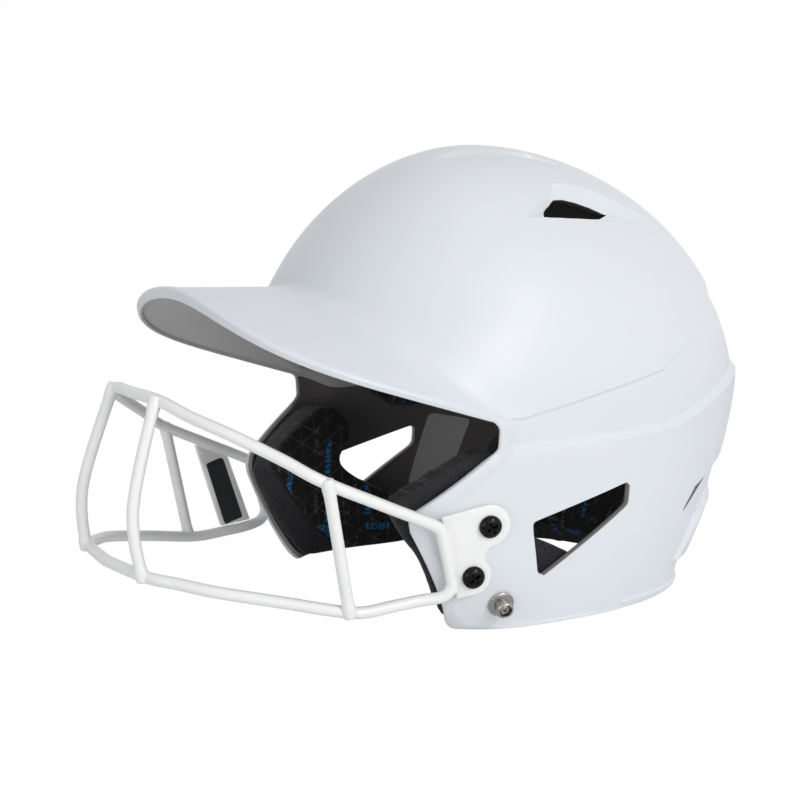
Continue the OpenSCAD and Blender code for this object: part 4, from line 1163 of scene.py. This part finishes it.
def foam_material():
    """Closed-cell foam, sliced: dark grey with cells about 1 mm across."""
    m, tree, shader = new_material("closed_cell_foam")
    co = add_node(tree, "ShaderNodeTexCoord")
    cells = add_node(tree, "ShaderNodeTexVoronoi", {"Vector": co.outputs["Object"], "Scale": 900.0})
    depth = cells.outputs["Distance"]
    ramp = add_node(tree, "ShaderNodeMapRange", {"Value": depth, "From Max": 0.6})
    tint = add_node(tree, "ShaderNodeMix", {"Factor": ramp, "A": linear("1B1B1D"),
                                            "B": linear("2C2C2F")}, data_type="RGBA")
    bump = add_node(tree, "ShaderNodeBump", {"Height": depth, "Distance": 0.0003})
    fill_inputs(shader, {"Base Color": tint.outputs["Result"], "Roughness": 0.85, "IOR": 1.45,
                         "Normal": bump})
    return m


liner_foam = foam_material()
MATH = "ShaderNodeMath"
# Pitches of the printed bars along and across, in millimetres, at each of their two angles
STEEP, FLAT = (85, 37, 27), (-6, 41, 33)


def weave_lines(tree, u, v, angle, step, width):
    """1 on thin parallel lines at an angle in degrees."""
    turn = math.radians(angle)
    across = add_node(tree, MATH, {0: v, 1: math.sin(turn) / step}, operation="MULTIPLY")
    along = add_node(tree, MATH, {0: u, 1: math.cos(turn) / step, 2: across},
                     operation="MULTIPLY_ADD")
    fold = add_node(tree, MATH, {0: along, 1: 0.5}, operation="PINGPONG")
    return add_node(tree, MATH, {0: fold, 1: width / step / 2}, operation="LESS_THAN")


def weave_bars(tree, u, v, rows, shift, length, height):
    """1 on short bars in staggered rows, each broken into blocks, of which some are left out."""
    angle, pitch_a, pitch_b = rows
    c, s = math.cos(math.radians(angle)), math.sin(math.radians(angle))
    a = add_node(tree, MATH, {0: v, 1: s, 2: shift[0]}, operation="MULTIPLY_ADD")
    a = add_node(tree, MATH, {0: u, 1: c, 2: a}, operation="MULTIPLY_ADD")
    b = add_node(tree, MATH, {0: u, 1: -s, 2: shift[1]}, operation="MULTIPLY_ADD")
    b = add_node(tree, MATH, {0: v, 1: c, 2: b}, operation="MULTIPLY_ADD")
    row = add_node(tree, MATH, {0: b, 1: pitch_b}, operation="DIVIDE")
    row = add_node(tree, MATH, {0: row}, operation="FLOOR")
    a = add_node(tree, MATH, {0: row, 1: pitch_a * 0.37, 2: a}, operation="MULTIPLY_ADD")
    tests = []
    for part, start, pitch, level, kind in (
            (a, pitch_a * 40, pitch_a, length, "LESS_THAN"),
            (b, pitch_b * 40, pitch_b, height, "LESS_THAN"),
            (a, pitch_a * 40, 2.9, 0.7, "GREATER_THAN")):
        moved = add_node(tree, MATH, {0: part, 1: start}, operation="ADD")
        rest = add_node(tree, MATH, {0: moved, 1: pitch}, operation="MODULO")
        tests.append(add_node(tree, MATH, {0: rest, 1: level}, operation=kind))
    cell = []
    for part, size in ((a, 1.1), (b, 1.05)):
        count = add_node(tree, MATH, {0: part, 1: size}, operation="DIVIDE")
        cell.append(add_node(tree, MATH, {0: count}, operation="FLOOR"))
    place = add_node(tree, "ShaderNodeCombineXYZ", dict(enumerate(cell)))
    chance = add_node(tree, "ShaderNodeTexWhiteNoise", {"Vector": place}, noise_dimensions="2D")
    found = add_node(tree, MATH, {0: chance.outputs["Value"], 1: 0.3}, operation="GREATER_THAN")
    for test in tests:
        found = add_node(tree, MATH, {0: found, 1: test}, operation="MULTIPLY")
    return found


def fabric_material():
    """Pad cloth. Where the third value of lie is positive it is a printed black knit with thin
    grey triangles and short blue and grey bars, and elsewhere a speckled charcoal fleece."""
    m, tree, shader = new_material("printed_knit_and_fleece")
    lie = add_node(tree, "ShaderNodeAttribute", attribute_name="lie").outputs["Vector"]
    u, v, printed = add_node(tree, "ShaderNodeSeparateXYZ", {0: lie}).outputs

    lattice = 0.0
    for angle in (0, 60, 120):
        one = weave_lines(tree, u, v, angle, 9, 0.3)
        lattice = add_node(tree, MATH, {0: lattice, 1: one}, operation="MAXIMUM")
    wave = 1.0
    for part in (u, v):
        phase = add_node(tree, MATH, {0: part, 1: 6.3}, operation="MULTIPLY")
        sine = add_node(tree, MATH, {0: phase}, operation="SINE")
        wave = add_node(tree, MATH, {0: wave, 1: sine}, operation="MULTIPLY")
    loops = add_node(tree, MATH, {0: wave, 1: 0.25, 2: 0.5}, operation="MULTIPLY_ADD")
    blue = add_node(tree, MATH, {0: weave_bars(tree, u, v, STEEP, (3, 6), 19, 3.6),
                                 1: weave_bars(tree, u, v, FLAT, (9, 20), 15, 3.4)},
                    operation="MAXIMUM")
    grey = add_node(tree, MATH, {0: weave_bars(tree, u, v, STEEP, (24, -3), 11, 2.4),
                                 1: weave_bars(tree, u, v, FLAT, (30, 12), 10, 2.4)},
                    operation="MAXIMUM")
    knit = linear("0D0D10")
    for share, strength, code in ((loops, 1.0, "19181C"),
                                  (lattice, noise_between(tree, 70, 0.2, 0.85), "7A7480"),
                                  (blue, 0.9, "1C86C4"), (grey, 0.6, "7C7884")):
        factor = add_node(tree, MATH, {0: share, 1: strength}, operation="MULTIPLY")
        knit = add_node(tree, "ShaderNodeMix", {"Factor": factor, "A": knit, "B": linear(code)},
                        data_type="RGBA").outputs["Result"]

    fuzz = add_node(tree, "ShaderNodeTexNoise", {"Vector": lie, "Scale": 1.3, "Detail": 3.0,
                                                 "Roughness": 0.8}).outputs["Fac"]
    speck = add_node(tree, "ShaderNodeMapRange", {"Value": fuzz, "From Min": 0.46,
                                                  "From Max": 0.64})
    face = add_node(tree, MATH, {0: printed, 1: 0.0}, operation="GREATER_THAN")
    border = add_node(tree, MATH, {0: printed}, operation="ABSOLUTE")
    seam = add_node(tree, MATH, {0: border, 1: 0.45}, operation="LESS_THAN")
    colour = linear("08080A")
    for factor, other in ((speck, linear("3A3A41")), (face, knit), (seam, linear("060607"))):
        colour = add_node(tree, "ShaderNodeMix", {"Factor": factor, "A": colour, "B": other},
                          data_type="RGBA").outputs["Result"]

    fleece = add_node(tree, MATH, {0: 1.0, 1: face}, operation="SUBTRACT")
    fleece = add_node(tree, MATH, {0: fleece, 1: fuzz}, operation="MULTIPLY")
    ribs = add_node(tree, MATH, {0: wave, 1: 0.4}, operation="MULTIPLY")
    grain = add_node(tree, MATH, {0: face, 1: ribs, 2: fleece}, operation="MULTIPLY_ADD")
    grain = add_node(tree, MATH, {0: grain, 1: seam}, operation="SUBTRACT")
    bump = add_node(tree, "ShaderNodeBump", {"Height": grain, "Distance": 0.0004})
    fill_inputs(shader, {"Base Color": colour, "Roughness": 0.88, "Sheen Weight": 0.12,
                         "Sheen Roughness": 0.5, "IOR": 1.4, "Normal": bump})
    return m


pad_cloth = fabric_material()

# Room for the nuts behind the seats of guard and studs: its depth and radius
TEE_NUT_BACK = 7.1
TEE_NUT_R = 8.4
SNAP_NUT_BACK = 9.1
SNAP_NUT_R = 7.4


def closed_spline(corners, n=6):
    """Closed smooth outline through corner points, n steps between each two."""
    p = np.asarray(corners, float)
    return np.concatenate([span(*four, n) for four in zip(np.roll(p, 1, 0), p, np.roll(p, -1, 0),
                                                          np.roll(p, -2, 0))])


def closed_evenly(outline, count):
    """Points at equal lengths round a closed outline."""
    return evenly(np.concatenate([outline, outline[:1]]), count + 1)[:-1]


def soft_place(kind, q, d):
    """Points at depth d under the wall, from a side view, from a plan, or from azimuths in
    degrees and heights."""
    if kind == "crown":
        return plan_to_wall(q, -d)
    if kind == "wall":
        az = np.radians(q[:, 0])
        return on_wall(az, q[:, 1]) - wall_out(az, q[:, 1]) * d
    x = side_x(q[:, 0], q[:, 1])
    n = wall_out(np.arctan2(x, -q[:, 0]), q[:, 1])
    return np.stack([x - d / n[:, 0], q[:, 0], q[:, 1]], -1)


def pad_form(kind, base, inner, middle, d0, t, crown=0.1):
    """Closed pad on the wall: its back face follows the wall, its sides run from the base outline
    to the inner one, and its inner face rises by a share of the thickness towards the middle."""
    middle = np.asarray(middle, float)
    rings = [(mix(middle, base, s), d0) for s in (0.25, 0.5, 0.75, 0.93)]
    rings += [(mix(base, inner, v**1.3), d0 + t * v) for v in (0.06, 0.22, 0.42, 0.62, 0.82, 0.95)]
    rings += [(mix(middle, inner, s), d0 + t * (1 + crown * (1 - s**2)))
              for s in (0.96, 0.88, 0.76, 0.62, 0.48, 0.34, 0.18)]
    rings = [(middle[None], d0), *rings, (middle[None], d0 + t * (1 + crown))]
    points = np.concatenate([soft_place(kind, q, d) for q, d in rings])
    return points, outwards(points, ring_faces(len(rings) - 2, len(base)))


def drafted(points, faces, change):
    """Points and four-cornered faces of a mesh after a modifier has changed a draft of it."""
    mesh = bpy.data.meshes.new("draft")
    fill_mesh(mesh, points, faces)
    obj = bpy.data.objects.new("draft", mesh)
    bpy.context.scene.collection.objects.link(obj)
    change(obj)
    made = obj.evaluated_get(bpy.context.evaluated_depsgraph_get()).data
    co = np.empty(len(made.vertices) * 3, np.float32)
    made.vertices.foreach_get("co", co)
    corners = np.empty(len(made.loops), np.int32)
    made.loops.foreach_get("vertex_index", corners)
    bpy.data.objects.remove(obj)
    bpy.data.meshes.remove(mesh)
    return co.reshape(-1, 3) / MM - [0, CROWN_Y, 0], corners.reshape(-1, 4)


def evened(values, faces, rounds):
    """Values at the vertices, averaged over the faces round each vertex a number of times."""
    count = np.bincount(faces.ravel(), minlength=len(values))[:, None]
    for _ in range(rounds):
        mean = values[faces].mean(axis=1)
        total = np.zeros_like(values)
        for k in range(faces.shape[1]):
            np.add.at(total, faces[:, k], mean)
        values = total / count
    return values


def stuffed(points, faces, cap, voxel_mm):
    """A pad's form swollen as cloth over foam: remeshed to even squares, blown up by a cloth
    simulation with no gravity, held to a cap in millimetres, and subdivided once."""
    def remesh(obj):
        """Even squares over the form."""
        m = obj.modifiers.new("even", "REMESH")
        m.mode = "VOXEL"
        m.voxel_size = voxel_mm * MM

    def inflate(obj):
        """Cloth under pressure for 20 frames."""
        settings = obj.modifiers.new("swell", "CLOTH").settings
        settings.use_pressure = True
        settings.uniform_pressure_force = 4
        settings.effector_weights.gravity = 0
        for frame_number in range(1, 21):
            bpy.context.scene.frame_set(frame_number)

    def subdivide(obj):
        """Four faces in place of each."""
        m = obj.modifiers.new("finer", "SUBSURF")
        m.levels = m.render_levels = 1

    points, faces = drafted(points, faces, remesh)
    swollen, _ = drafted(points, faces, inflate)
    bpy.context.scene.frame_set(1)
    move = evened(swollen - points, faces, 5)
    far = np.linalg.norm(move, axis=1, keepdims=True)
    points = points + move * np.minimum(1, cap / np.maximum(far, 1e-6))
    return drafted(points, faces, subdivide)


def wall_depth(p):
    """Depth of each point under the wall, and the level way outwards for each mm less of it."""
    az = azimuth(p)
    z = np.clip(p[:, 2], 0, WAIST_Z + DOME_H - 20)
    radial = np.stack([np.sin(az), -np.cos(az), np.zeros(len(p))], -1)
    share = np.maximum((wall_out(az, z) * radial).sum(1), 0.3)
    r = np.hypot(p[:, 0], p[:, 1])
    return (wall_radius(az, z) - r) * share, radial / share[:, None]


def settled(p, least):
    """Points kept a least depth under the wall and clear of the nuts behind the guard and studs."""
    depth, outward = wall_depth(p)
    p = np.stack([p[:, 0], p[:, 1], np.maximum(p[:, 2], FOOT_Z)], -1)
    p = p - outward * np.maximum(least - depth, 0)[:, None]
    places = [(at_seat([*xy, 0]), SEAT_AXES[2], TEE_NUT_BACK, TEE_NUT_R) for xy in SCREWS]
    for origin, axis, back, radius in places + [(SNAP, SNAP_AXES[2], SNAP_NUT_BACK, SNAP_NUT_R)]:
        d = p - origin
        w = d @ axis
        off = np.linalg.norm(d - w[:, None] * axis, axis=1)
        push = np.maximum(w + back, 0) * smooth((radius + 2.5 - off) / 2.5) * (w > -25)
        p = p - axis * push[:, None]
    return p


def pad_lie(kind, p, inner, d0, t):
    """Flat position of each point for the weave, in millimetres, and how far it lies within the
    outline of the printed face, negative on the sides and the back."""
    if kind == "crown":
        flat, outline = p[:, :2], inner
        depth = plan_to_wall(p[:, :2])[:, 2] - p[:, 2]
    else:
        depth, _ = wall_depth(p)
        if kind == "side":
            flat, outline = p[:, 1:3], inner
        else:
            around = np.degrees(azimuth(p))
            if inner[:, 0].mean() > 90:
                around %= 360
            scale = [1.8, 1]
            flat, outline = np.stack([around, p[:, 2]], -1) * scale, inner * scale
    face = np.minimum(signed(flat, outline), (depth - d0 - 0.5 * t) * 2)
    return np.concatenate([flat, face[:, None]], 1)


def ends(points, faces, twin=True):
    """Name endings and meshes of a piece and its twin on the other side, or of the piece alone."""
    if twin:
        return ("_left", (points, faces)), ("_right", mirrored(points, faces))
    return (("", (points, faces)),)


def add_pad(name, node, kind, base, inner, middle, d0, t, cap, twin=False, crown=0.1, voxel_mm=4.0):
    """A cloth-covered pad in place of its node, and its twin on the other side. In millimetres, d0
    is the depth of its back under the wall, t its thickness and cap how far it may swell."""
    form = pad_form(kind, base, inner, middle, d0 + 0.8, t - 1.6, crown)
    points, faces = stuffed(*form, cap, voxel_mm)
    if kind != "crown":
        points = settled(points, d0)
    lie = pad_lie(kind, points, inner, d0, t)
    for end, mesh in ends(points, faces, twin):
        obj = add_piece(name + end, *mesh, [pad_cloth], "pad_fabric", [node + end], sharp=0,
                        lie=lie)


def add_liner(name, node, kind, outline, middle, d0, t, twin=False):
    """A block of stiff foam in place of its node, with sides nearly square to the wall. d0 is the
    depth of its back under the wall and t its thickness, in millimetres."""
    base = closed_evenly(outline, 160)
    inner = mix(np.asarray(middle, float), base, 0.965)
    points, faces = pad_form(kind, base, inner, middle, d0, t, 0.0)
    for end, mesh in ends(points, faces, twin):
        obj = add_piece(name + end, *mesh, [liner_foam], "liner_foam", [node + end], sharp=0)


# Ear pad from the side: its outline on the wall and the outline of its face
EAR_BASE = [[-57.5, 3.4], [-36, 2], [8, 2.5], [12, 10], [11.5, 18], [6, 28], [-10, 37.5], [-22, 44],
            [-29.5, 50.5], [-34, 55.7], [-30, 61.5], [-26.5, 68], [-28, 75], [-36, 81.5],
            [-46, 85.5], [-55.8, 81.4], [-66.3, 74.3], [-77.3, 66.4], [-87.6, 56.4], [-86.4, 47],
            [-79.6, 35], [-72, 19.6], [-63.4, 6.8]]
EAR_INNER = [[-43, 10.5], [-36, 7], [3.4, 5.5], [7, 10], [7.6, 17.5], [3.8, 25.5], [-7, 33.5],
             [-19, 39.5], [-31, 48], [-37, 55.7], [-33.5, 61], [-29.5, 68.2], [-30, 75.5],
             [-37, 83], [-47.5, 86], [-55.5, 82], [-66.5, 76], [-76.5, 69], [-84, 60],
             [-81.6, 55.9], [-71.4, 40.6], [-61, 26.6], [-50.5, 16.5]]
# Lowest height of the pads, and thickness of the two fullest
FOOT_Z = 0.7
EAR_T = 24.0
NAPE_T = 27.0


def oval(middle, rx, ry, n=72):
    """Closed oval outline."""
    t = np.linspace(0, 2 * math.pi, n, endpoint=False)
    return np.asarray(middle) + np.stack([rx * np.cos(t), ry * np.sin(t)], -1)


def shrunk(outline, middle, share):
    """The outline drawn towards its middle."""
    return mix(np.asarray(middle, float), outline, share)


def soft_corners(corners, radii, count=120):
    """Points at equal lengths round a closed outline with round corners."""
    return closed_evenly(rounded(corners, radii), count)


def box(a0, a1, z0, z1):
    """Outline of a liner block between two azimuths and two heights."""
    return rounded([[a0, z0], [a1, z0], [a1, z1], [a0, z1]], [4] * 4)


def soft_goods():
    """Every pad and liner block."""
    add_pad("ear_cushion", "ear_pad", "side", closed_spline(EAR_BASE), closed_spline(EAR_INNER),
            (-46, 42), 4.9, EAR_T, 1.6, twin=True, crown=0.0, voxel_mm=3.0)
    temple = soft_corners([[74, 104], [83, 89], [91, 79.5], [104, 78], [108.5, 88], [108, 128],
                           [74, 132]], [3.5] * 7, 110)
    add_pad("temple_cushion", "temple_pad", "wall", temple, shrunk(temple, (92, 109), 0.9),
            (92, 109), 13.9, 9, 2.5, twin=True)
    brow = soft_corners([[-46, 138], [-30, 143], [-16, 139], [16, 139], [30, 143], [46, 138],
                         [46, 160], [-46, 160]], [4] * 8)
    add_pad("forehead_cushion", "forehead_pad", "wall", brow, shrunk(brow, (0, 150), 0.93),
            (0, 150), 18.7, 9, 2)
    rear = soft_corners([[142, 84], [218, 84], [218, 130], [142, 130]], [10] * 4)
    add_pad("rear_cushion", "rear_pad", "wall", rear, shrunk(rear, (180, 107), 0.93),
            (180, 107), 20.9, 9, 3)
    nape = soft_corners([[138, -4], [222, -4], [231, 30], [232, 53], [225, 62], [135, 62],
                         [128, 53], [129, 30]], [2, 2, 9, 5, 5, 5, 5, 9], 140)
    nape_face = (nape - [180, -4]) * [0.985, 0.97] + [180, -4]
    add_pad("nape_cushion", "nape_pad", "wall", nape, nape_face, (180, 34), 4.4, NAPE_T, 1.5,
            voxel_mm=3.0)
    crown = oval((0, 12), 32.3, 38)
    add_pad("crown_cushion", "crown_pad", "crown", crown, shrunk(crown, (0, 12), 0.9),
            (0, 12), 13.7, 9, 3)

    front = rounded([[-50, 140], [-30, 150], [-18, 147], [18, 147], [30, 150], [50, 140],
                     [50, 188], [-50, 188]], [4] * 8)
    add_liner("front_foam", "front_liner", "wall", front, (0, 167), 4.2, 14)
    add_liner("rear_foam", "rear_liner", "wall", box(126, 234, 74, 160), (180, 117), 6.1, 14)
    add_liner("side_foam", "side_liner", "wall", box(62, 112, 104, 168), (87, 136), 5.5, 8,
              twin=True)
    add_liner("crown_foam", "crown_liner", "crown", oval((0, 12), 38, 45.6), (0, 12), 4.4, 8)


# Bare stickers, which lie a little off the surface under them
STICKER_GAP = 0.03
label_black = coated("black_vinyl_label", "303235", 0.35, 0.05, 2.0, 0.006)
label_grey = coated("clear_matt_label", "C4C2C0", 0.45, 0.06, 2.0, 0.006)


def stacked(rings, place):
    """Closed surface through outlines at their heights. The first and last have shrunk to a
    point."""
    (first, low), (last, high) = rings[0], rings[-1]
    points = np.concatenate([place(first[:1], low), *[place(q, h) for q, h in rings[1:-1]],
                             place(last[:1], high)])
    return points, ring_faces(len(rings) - 2, len(first))


def sticker(name, corners, radius, place, material, slot, thick=0.22):
    """Thin bare sticker with round corners. place gives points from flat coordinates and a
    height."""
    outline = soft_corners(corners, [radius] * 4, 80)
    middle = outline.mean(0)
    rings = [(shrunk(outline, middle, share), 0.0) for share in (0, 0.3, 0.65, 1)]
    rings += [(shrunk(outline, middle, share), thick) for share in (0.999, 0.9, 0.7, 0.5, 0.25, 0)]
    points, faces = stacked(rings, lambda q, h: place(q, h + STICKER_GAP))
    add_piece(name, points, faces, [material], slot, sharp=40)


def stickers():
    """A grey label inside the flap on the wearer's right and a black one on the tab plate."""
    def inside_flap(q, h):
        """Points at a height on the flap's inner side, from azimuths in degrees and heights."""
        az = np.radians(q[:, 0])
        return on_wall(az, q[:, 1]) - wall_out(az, q[:, 1]) * (WALL + 0.05 + h)

    sticker("flap_label", [[257.5, 31], [243.5, 30], [236, 67], [249.5, 72.5]], 2.0,
            inside_flap, label_grey, "pad_fabric")
    sticker("tab_label", [[2.6, 7.8], [15.8, 1.6], [15.4, 32], [2.4, 33.7]], 1.0,
            on_tab, label_black, "guard_coat")


# Tab plate: its size, its front edge and its corners, a little off the middles of the wires
TAB_L = 20.0
TAB_H = 34.0
TAB_FRONT = -114
TAB_DROP = np.array([0, 0, 3.25])
TAB_TOP = [crossing(UPPER_PATH, 1, y)[0] - TAB_DROP for y in (TAB_FRONT, TAB_FRONT + TAB_L)]
TAB_FOOT = [crossing(LOWER_PATH, 1, y)[0] + TAB_DROP for y in (TAB_FRONT + 13, TAB_FRONT + 31)]


def on_tab(q, h):
    """Points of the tab plate's inner face, on the wearer's right, from flat millimetres: a surface
    ruled between its top and its foot, raised by h along its normal."""
    u, v = q[:, :1] / TAB_L, q[:, 1:] / TAB_H
    along = mix(TAB_TOP[1] - TAB_TOP[0], TAB_FOOT[1] - TAB_FOOT[0], v)
    down = mix(TAB_FOOT[0] - TAB_TOP[0], TAB_FOOT[1] - TAB_TOP[1], u)
    n = unit(np.cross(along, down))
    n = n * -np.sign(n[:, :1])
    p = mix(mix(TAB_TOP[0], TAB_TOP[1], u), mix(TAB_FOOT[0], TAB_FOOT[1], u), v)
    return (p + n * (PLATE_T / 2 + h)) * [-1, 1, 1]


def tab_plate():
    """Flat steel tab between the bars on the wearer's right, with its edges eased."""
    outline = soft_corners([[0, 0], [TAB_L, 0], [TAB_L, TAB_H], [0, TAB_H]], [0.6] * 4)
    middle = outline.mean(0)
    reach = np.linalg.norm(outline - middle, axis=1, keepdims=True)
    inset = middle + (outline - middle) * (1 - 0.5 / reach)
    rings = [(shrunk(inset, middle, share), -PLATE_T) for share in (0, 0.3, 0.65, 1)]
    rings += [(outline, -PLATE_T + 0.4), (outline, -0.4)]
    rings += [(shrunk(inset, middle, share), 0.0) for share in (1, 0.65, 0.3, 0)]
    add_piece("tab_plate", *stacked(rings, on_tab), [powder_coat], "guard_coat",
              ["guard_tab_plate"], sharp=50)


def add_steel(name, mesh, node):
    """A powder-coated piece of the guard in place of its node."""
    add_piece(name, *mesh, [powder_coat], "guard_coat", [node])


def main():
    """Builds every piece."""
    points, faces, part = shell_mesh()
    add_piece("shell_moulding", points, faces,
              [shell_paint, edge_abs, bare_abs, brim_lit_abs, slot_shade_abs], "shell_plastic",
              ["outer_shell"], part, sharp=28)

    upper = tube(whole(UPPER_PATH), WIRE_R)
    pool = weld_pool(PLATE_RUN[3] + [0, 0, -1.5], SEAT_AXES[2], SEAT_AXES[1], (3.0, 2.7, 2.7))
    add_steel("upper_bar", joined([upper, both(*pool)]), "guard_upper_wire")
    add_steel("lower_bar", tube(whole(LOWER_PATH), WIRE_R), "guard_lower_wire")
    seam = PLATE_RUN - SEAT_AXES[2] * (WIRE_OUT - PLATE_T) - SEAT_AXES[0] * 2.1
    weld = tube(catmull(seam[1:], 8), 2.0, 12)
    for name, node, mesh in (
            ("centre_upright", "guard_centre_upright",
             upright(crossing(UPPER_PATH, 0, 25), crossing(LOWER_PATH, 0, 35), 7)),
            ("side_upright", "guard_side_upright",
             upright(crossing(UPPER_PATH, 1, -131), crossing(LOWER_PATH, 1, -119), 0)),
            ("side_plate", "guard_plate", joined([plate_mesh(), weld]))):
        for end, one in ends(*mesh):
            add_steel(name + end, one, node + end)

    heads = joined([screw_head(xy, turn) for xy, turn in zip(SCREWS, (1.1, 0.95))])
    add_piece("screw_heads", *both(*heads), [black_oxide], "black_screw", ["guard_screws"],
              sharp=40)
    stud, head = snap_parts()
    add_piece("stud_barrels", *both(*stud), [stainless], "steel", ["snap_studs"], sharp=40)
    add_piece("stud_screw_heads", *both(*head), [stainless], "steel", ["snap_screws"], sharp=40)

    tab_plate()
    soft_goods()
    stickers()
    for name in ("guard_tee_nuts", "snap_washers", "snap_nuts"):
        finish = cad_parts[name].data.materials
        finish.clear()
        finish.append(zinc_plate)


main()


# Floor, light and camera
def floor_piece():
    """A wide flat floor under the helmet."""
    size = 6.0
    mesh = bpy.data.meshes.new("floor")
    mesh.from_pydata([(-size, -size, 0), (size, -size, 0), (size, size, 0), (-size, size, 0)], [],
                     [(0, 1, 2, 3)])
    m, tree, shader = new_material("matt_white_floor")
    fill_inputs(shader, {"Base Color": linear("F4F4F4"), "Roughness": 0.9})
    path = add_node(tree, "ShaderNodeLightPath")
    glow = add_node(tree, "ShaderNodeEmission", {"Color": linear("FFFFFF"), "Strength": 1.0})
    blend = add_node(tree, "ShaderNodeMixShader", {0: path.outputs["Is Camera Ray"], 1: shader,
                                                   2: glow})
    fill_inputs(tree.nodes["Material Output"], {"Surface": blend})
    mesh.materials.append(m)
    obj = bpy.data.objects.new("floor", mesh)
    bpy.context.scene.collection.objects.link(obj)


def add_light(name, place, aim, size, power):
    """Square soft lamp at a place in metres, turned to its aim."""
    lamp = bpy.data.lights.new(name, "AREA")
    lamp.size, lamp.energy = size, power
    obj = bpy.data.objects.new(name, lamp)
    obj.location = place
    obj.rotation_euler = (Vector(aim) - Vector(place)).to_track_quat("-Z", "Y").to_euler()
    bpy.context.scene.collection.objects.link(obj)


def studio():
    """Soft light from above and both sides, a pale surround, and the photograph's view."""
    scene = bpy.context.scene
    scene.view_settings.view_transform = "Standard"
    world = bpy.data.worlds.new("pale_studio")
    scene.world = world
    world.use_nodes = True
    tree = world.node_tree
    tree.nodes.clear()
    path = add_node(tree, "ShaderNodeLightPath")
    seen = add_node(tree, MATH, {0: path.outputs["Is Camera Ray"],
                                 1: path.outputs["Is Glossy Ray"]}, operation="MAXIMUM")
    dim = add_node(tree, "ShaderNodeBackground", {"Color": linear("EEF1F6"), "Strength": 0.52})
    white = add_node(tree, "ShaderNodeBackground", {"Color": linear("FFFFFF"), "Strength": 1.0})
    blend = add_node(tree, "ShaderNodeMixShader", {0: seen, 1: dim, 2: white})
    add_node(tree, "ShaderNodeOutputWorld", {"Surface": blend})
    aim = (0, 0, 0.11)
    add_light("key_softbox", (1.6, 0.1, 0.45), aim, 0.9, 4.6)
    add_light("side_softbox", (1.4, 0.35, 0.95), aim, 0.28, 6.1)
    add_light("front_softbox", (0.7, -1.5, 0.15), aim, 0.8, 5)
    add_light("top_softbox", (0.1, 0.2, 1.6), aim, 1.0, 1.5)
    cam = bpy.data.cameras.new("camera")
    cam.lens = 72
    cam.sensor_width = 36
    obj = bpy.data.objects.new("camera", cam)
    target = Vector((0, -16.125, 97.5)) * MM
    az, el = math.radians(58.791), math.radians(8.384)
    back = Vector((math.sin(az) * math.cos(el), -math.cos(az) * math.cos(el), math.sin(el)))
    obj.location = target + back * 807.696 * MM
    obj.rotation_euler = (-back).to_track_quat("-Z", "Y").to_euler()
    scene.collection.objects.link(obj)
    scene.camera = obj


floor_piece()
studio()
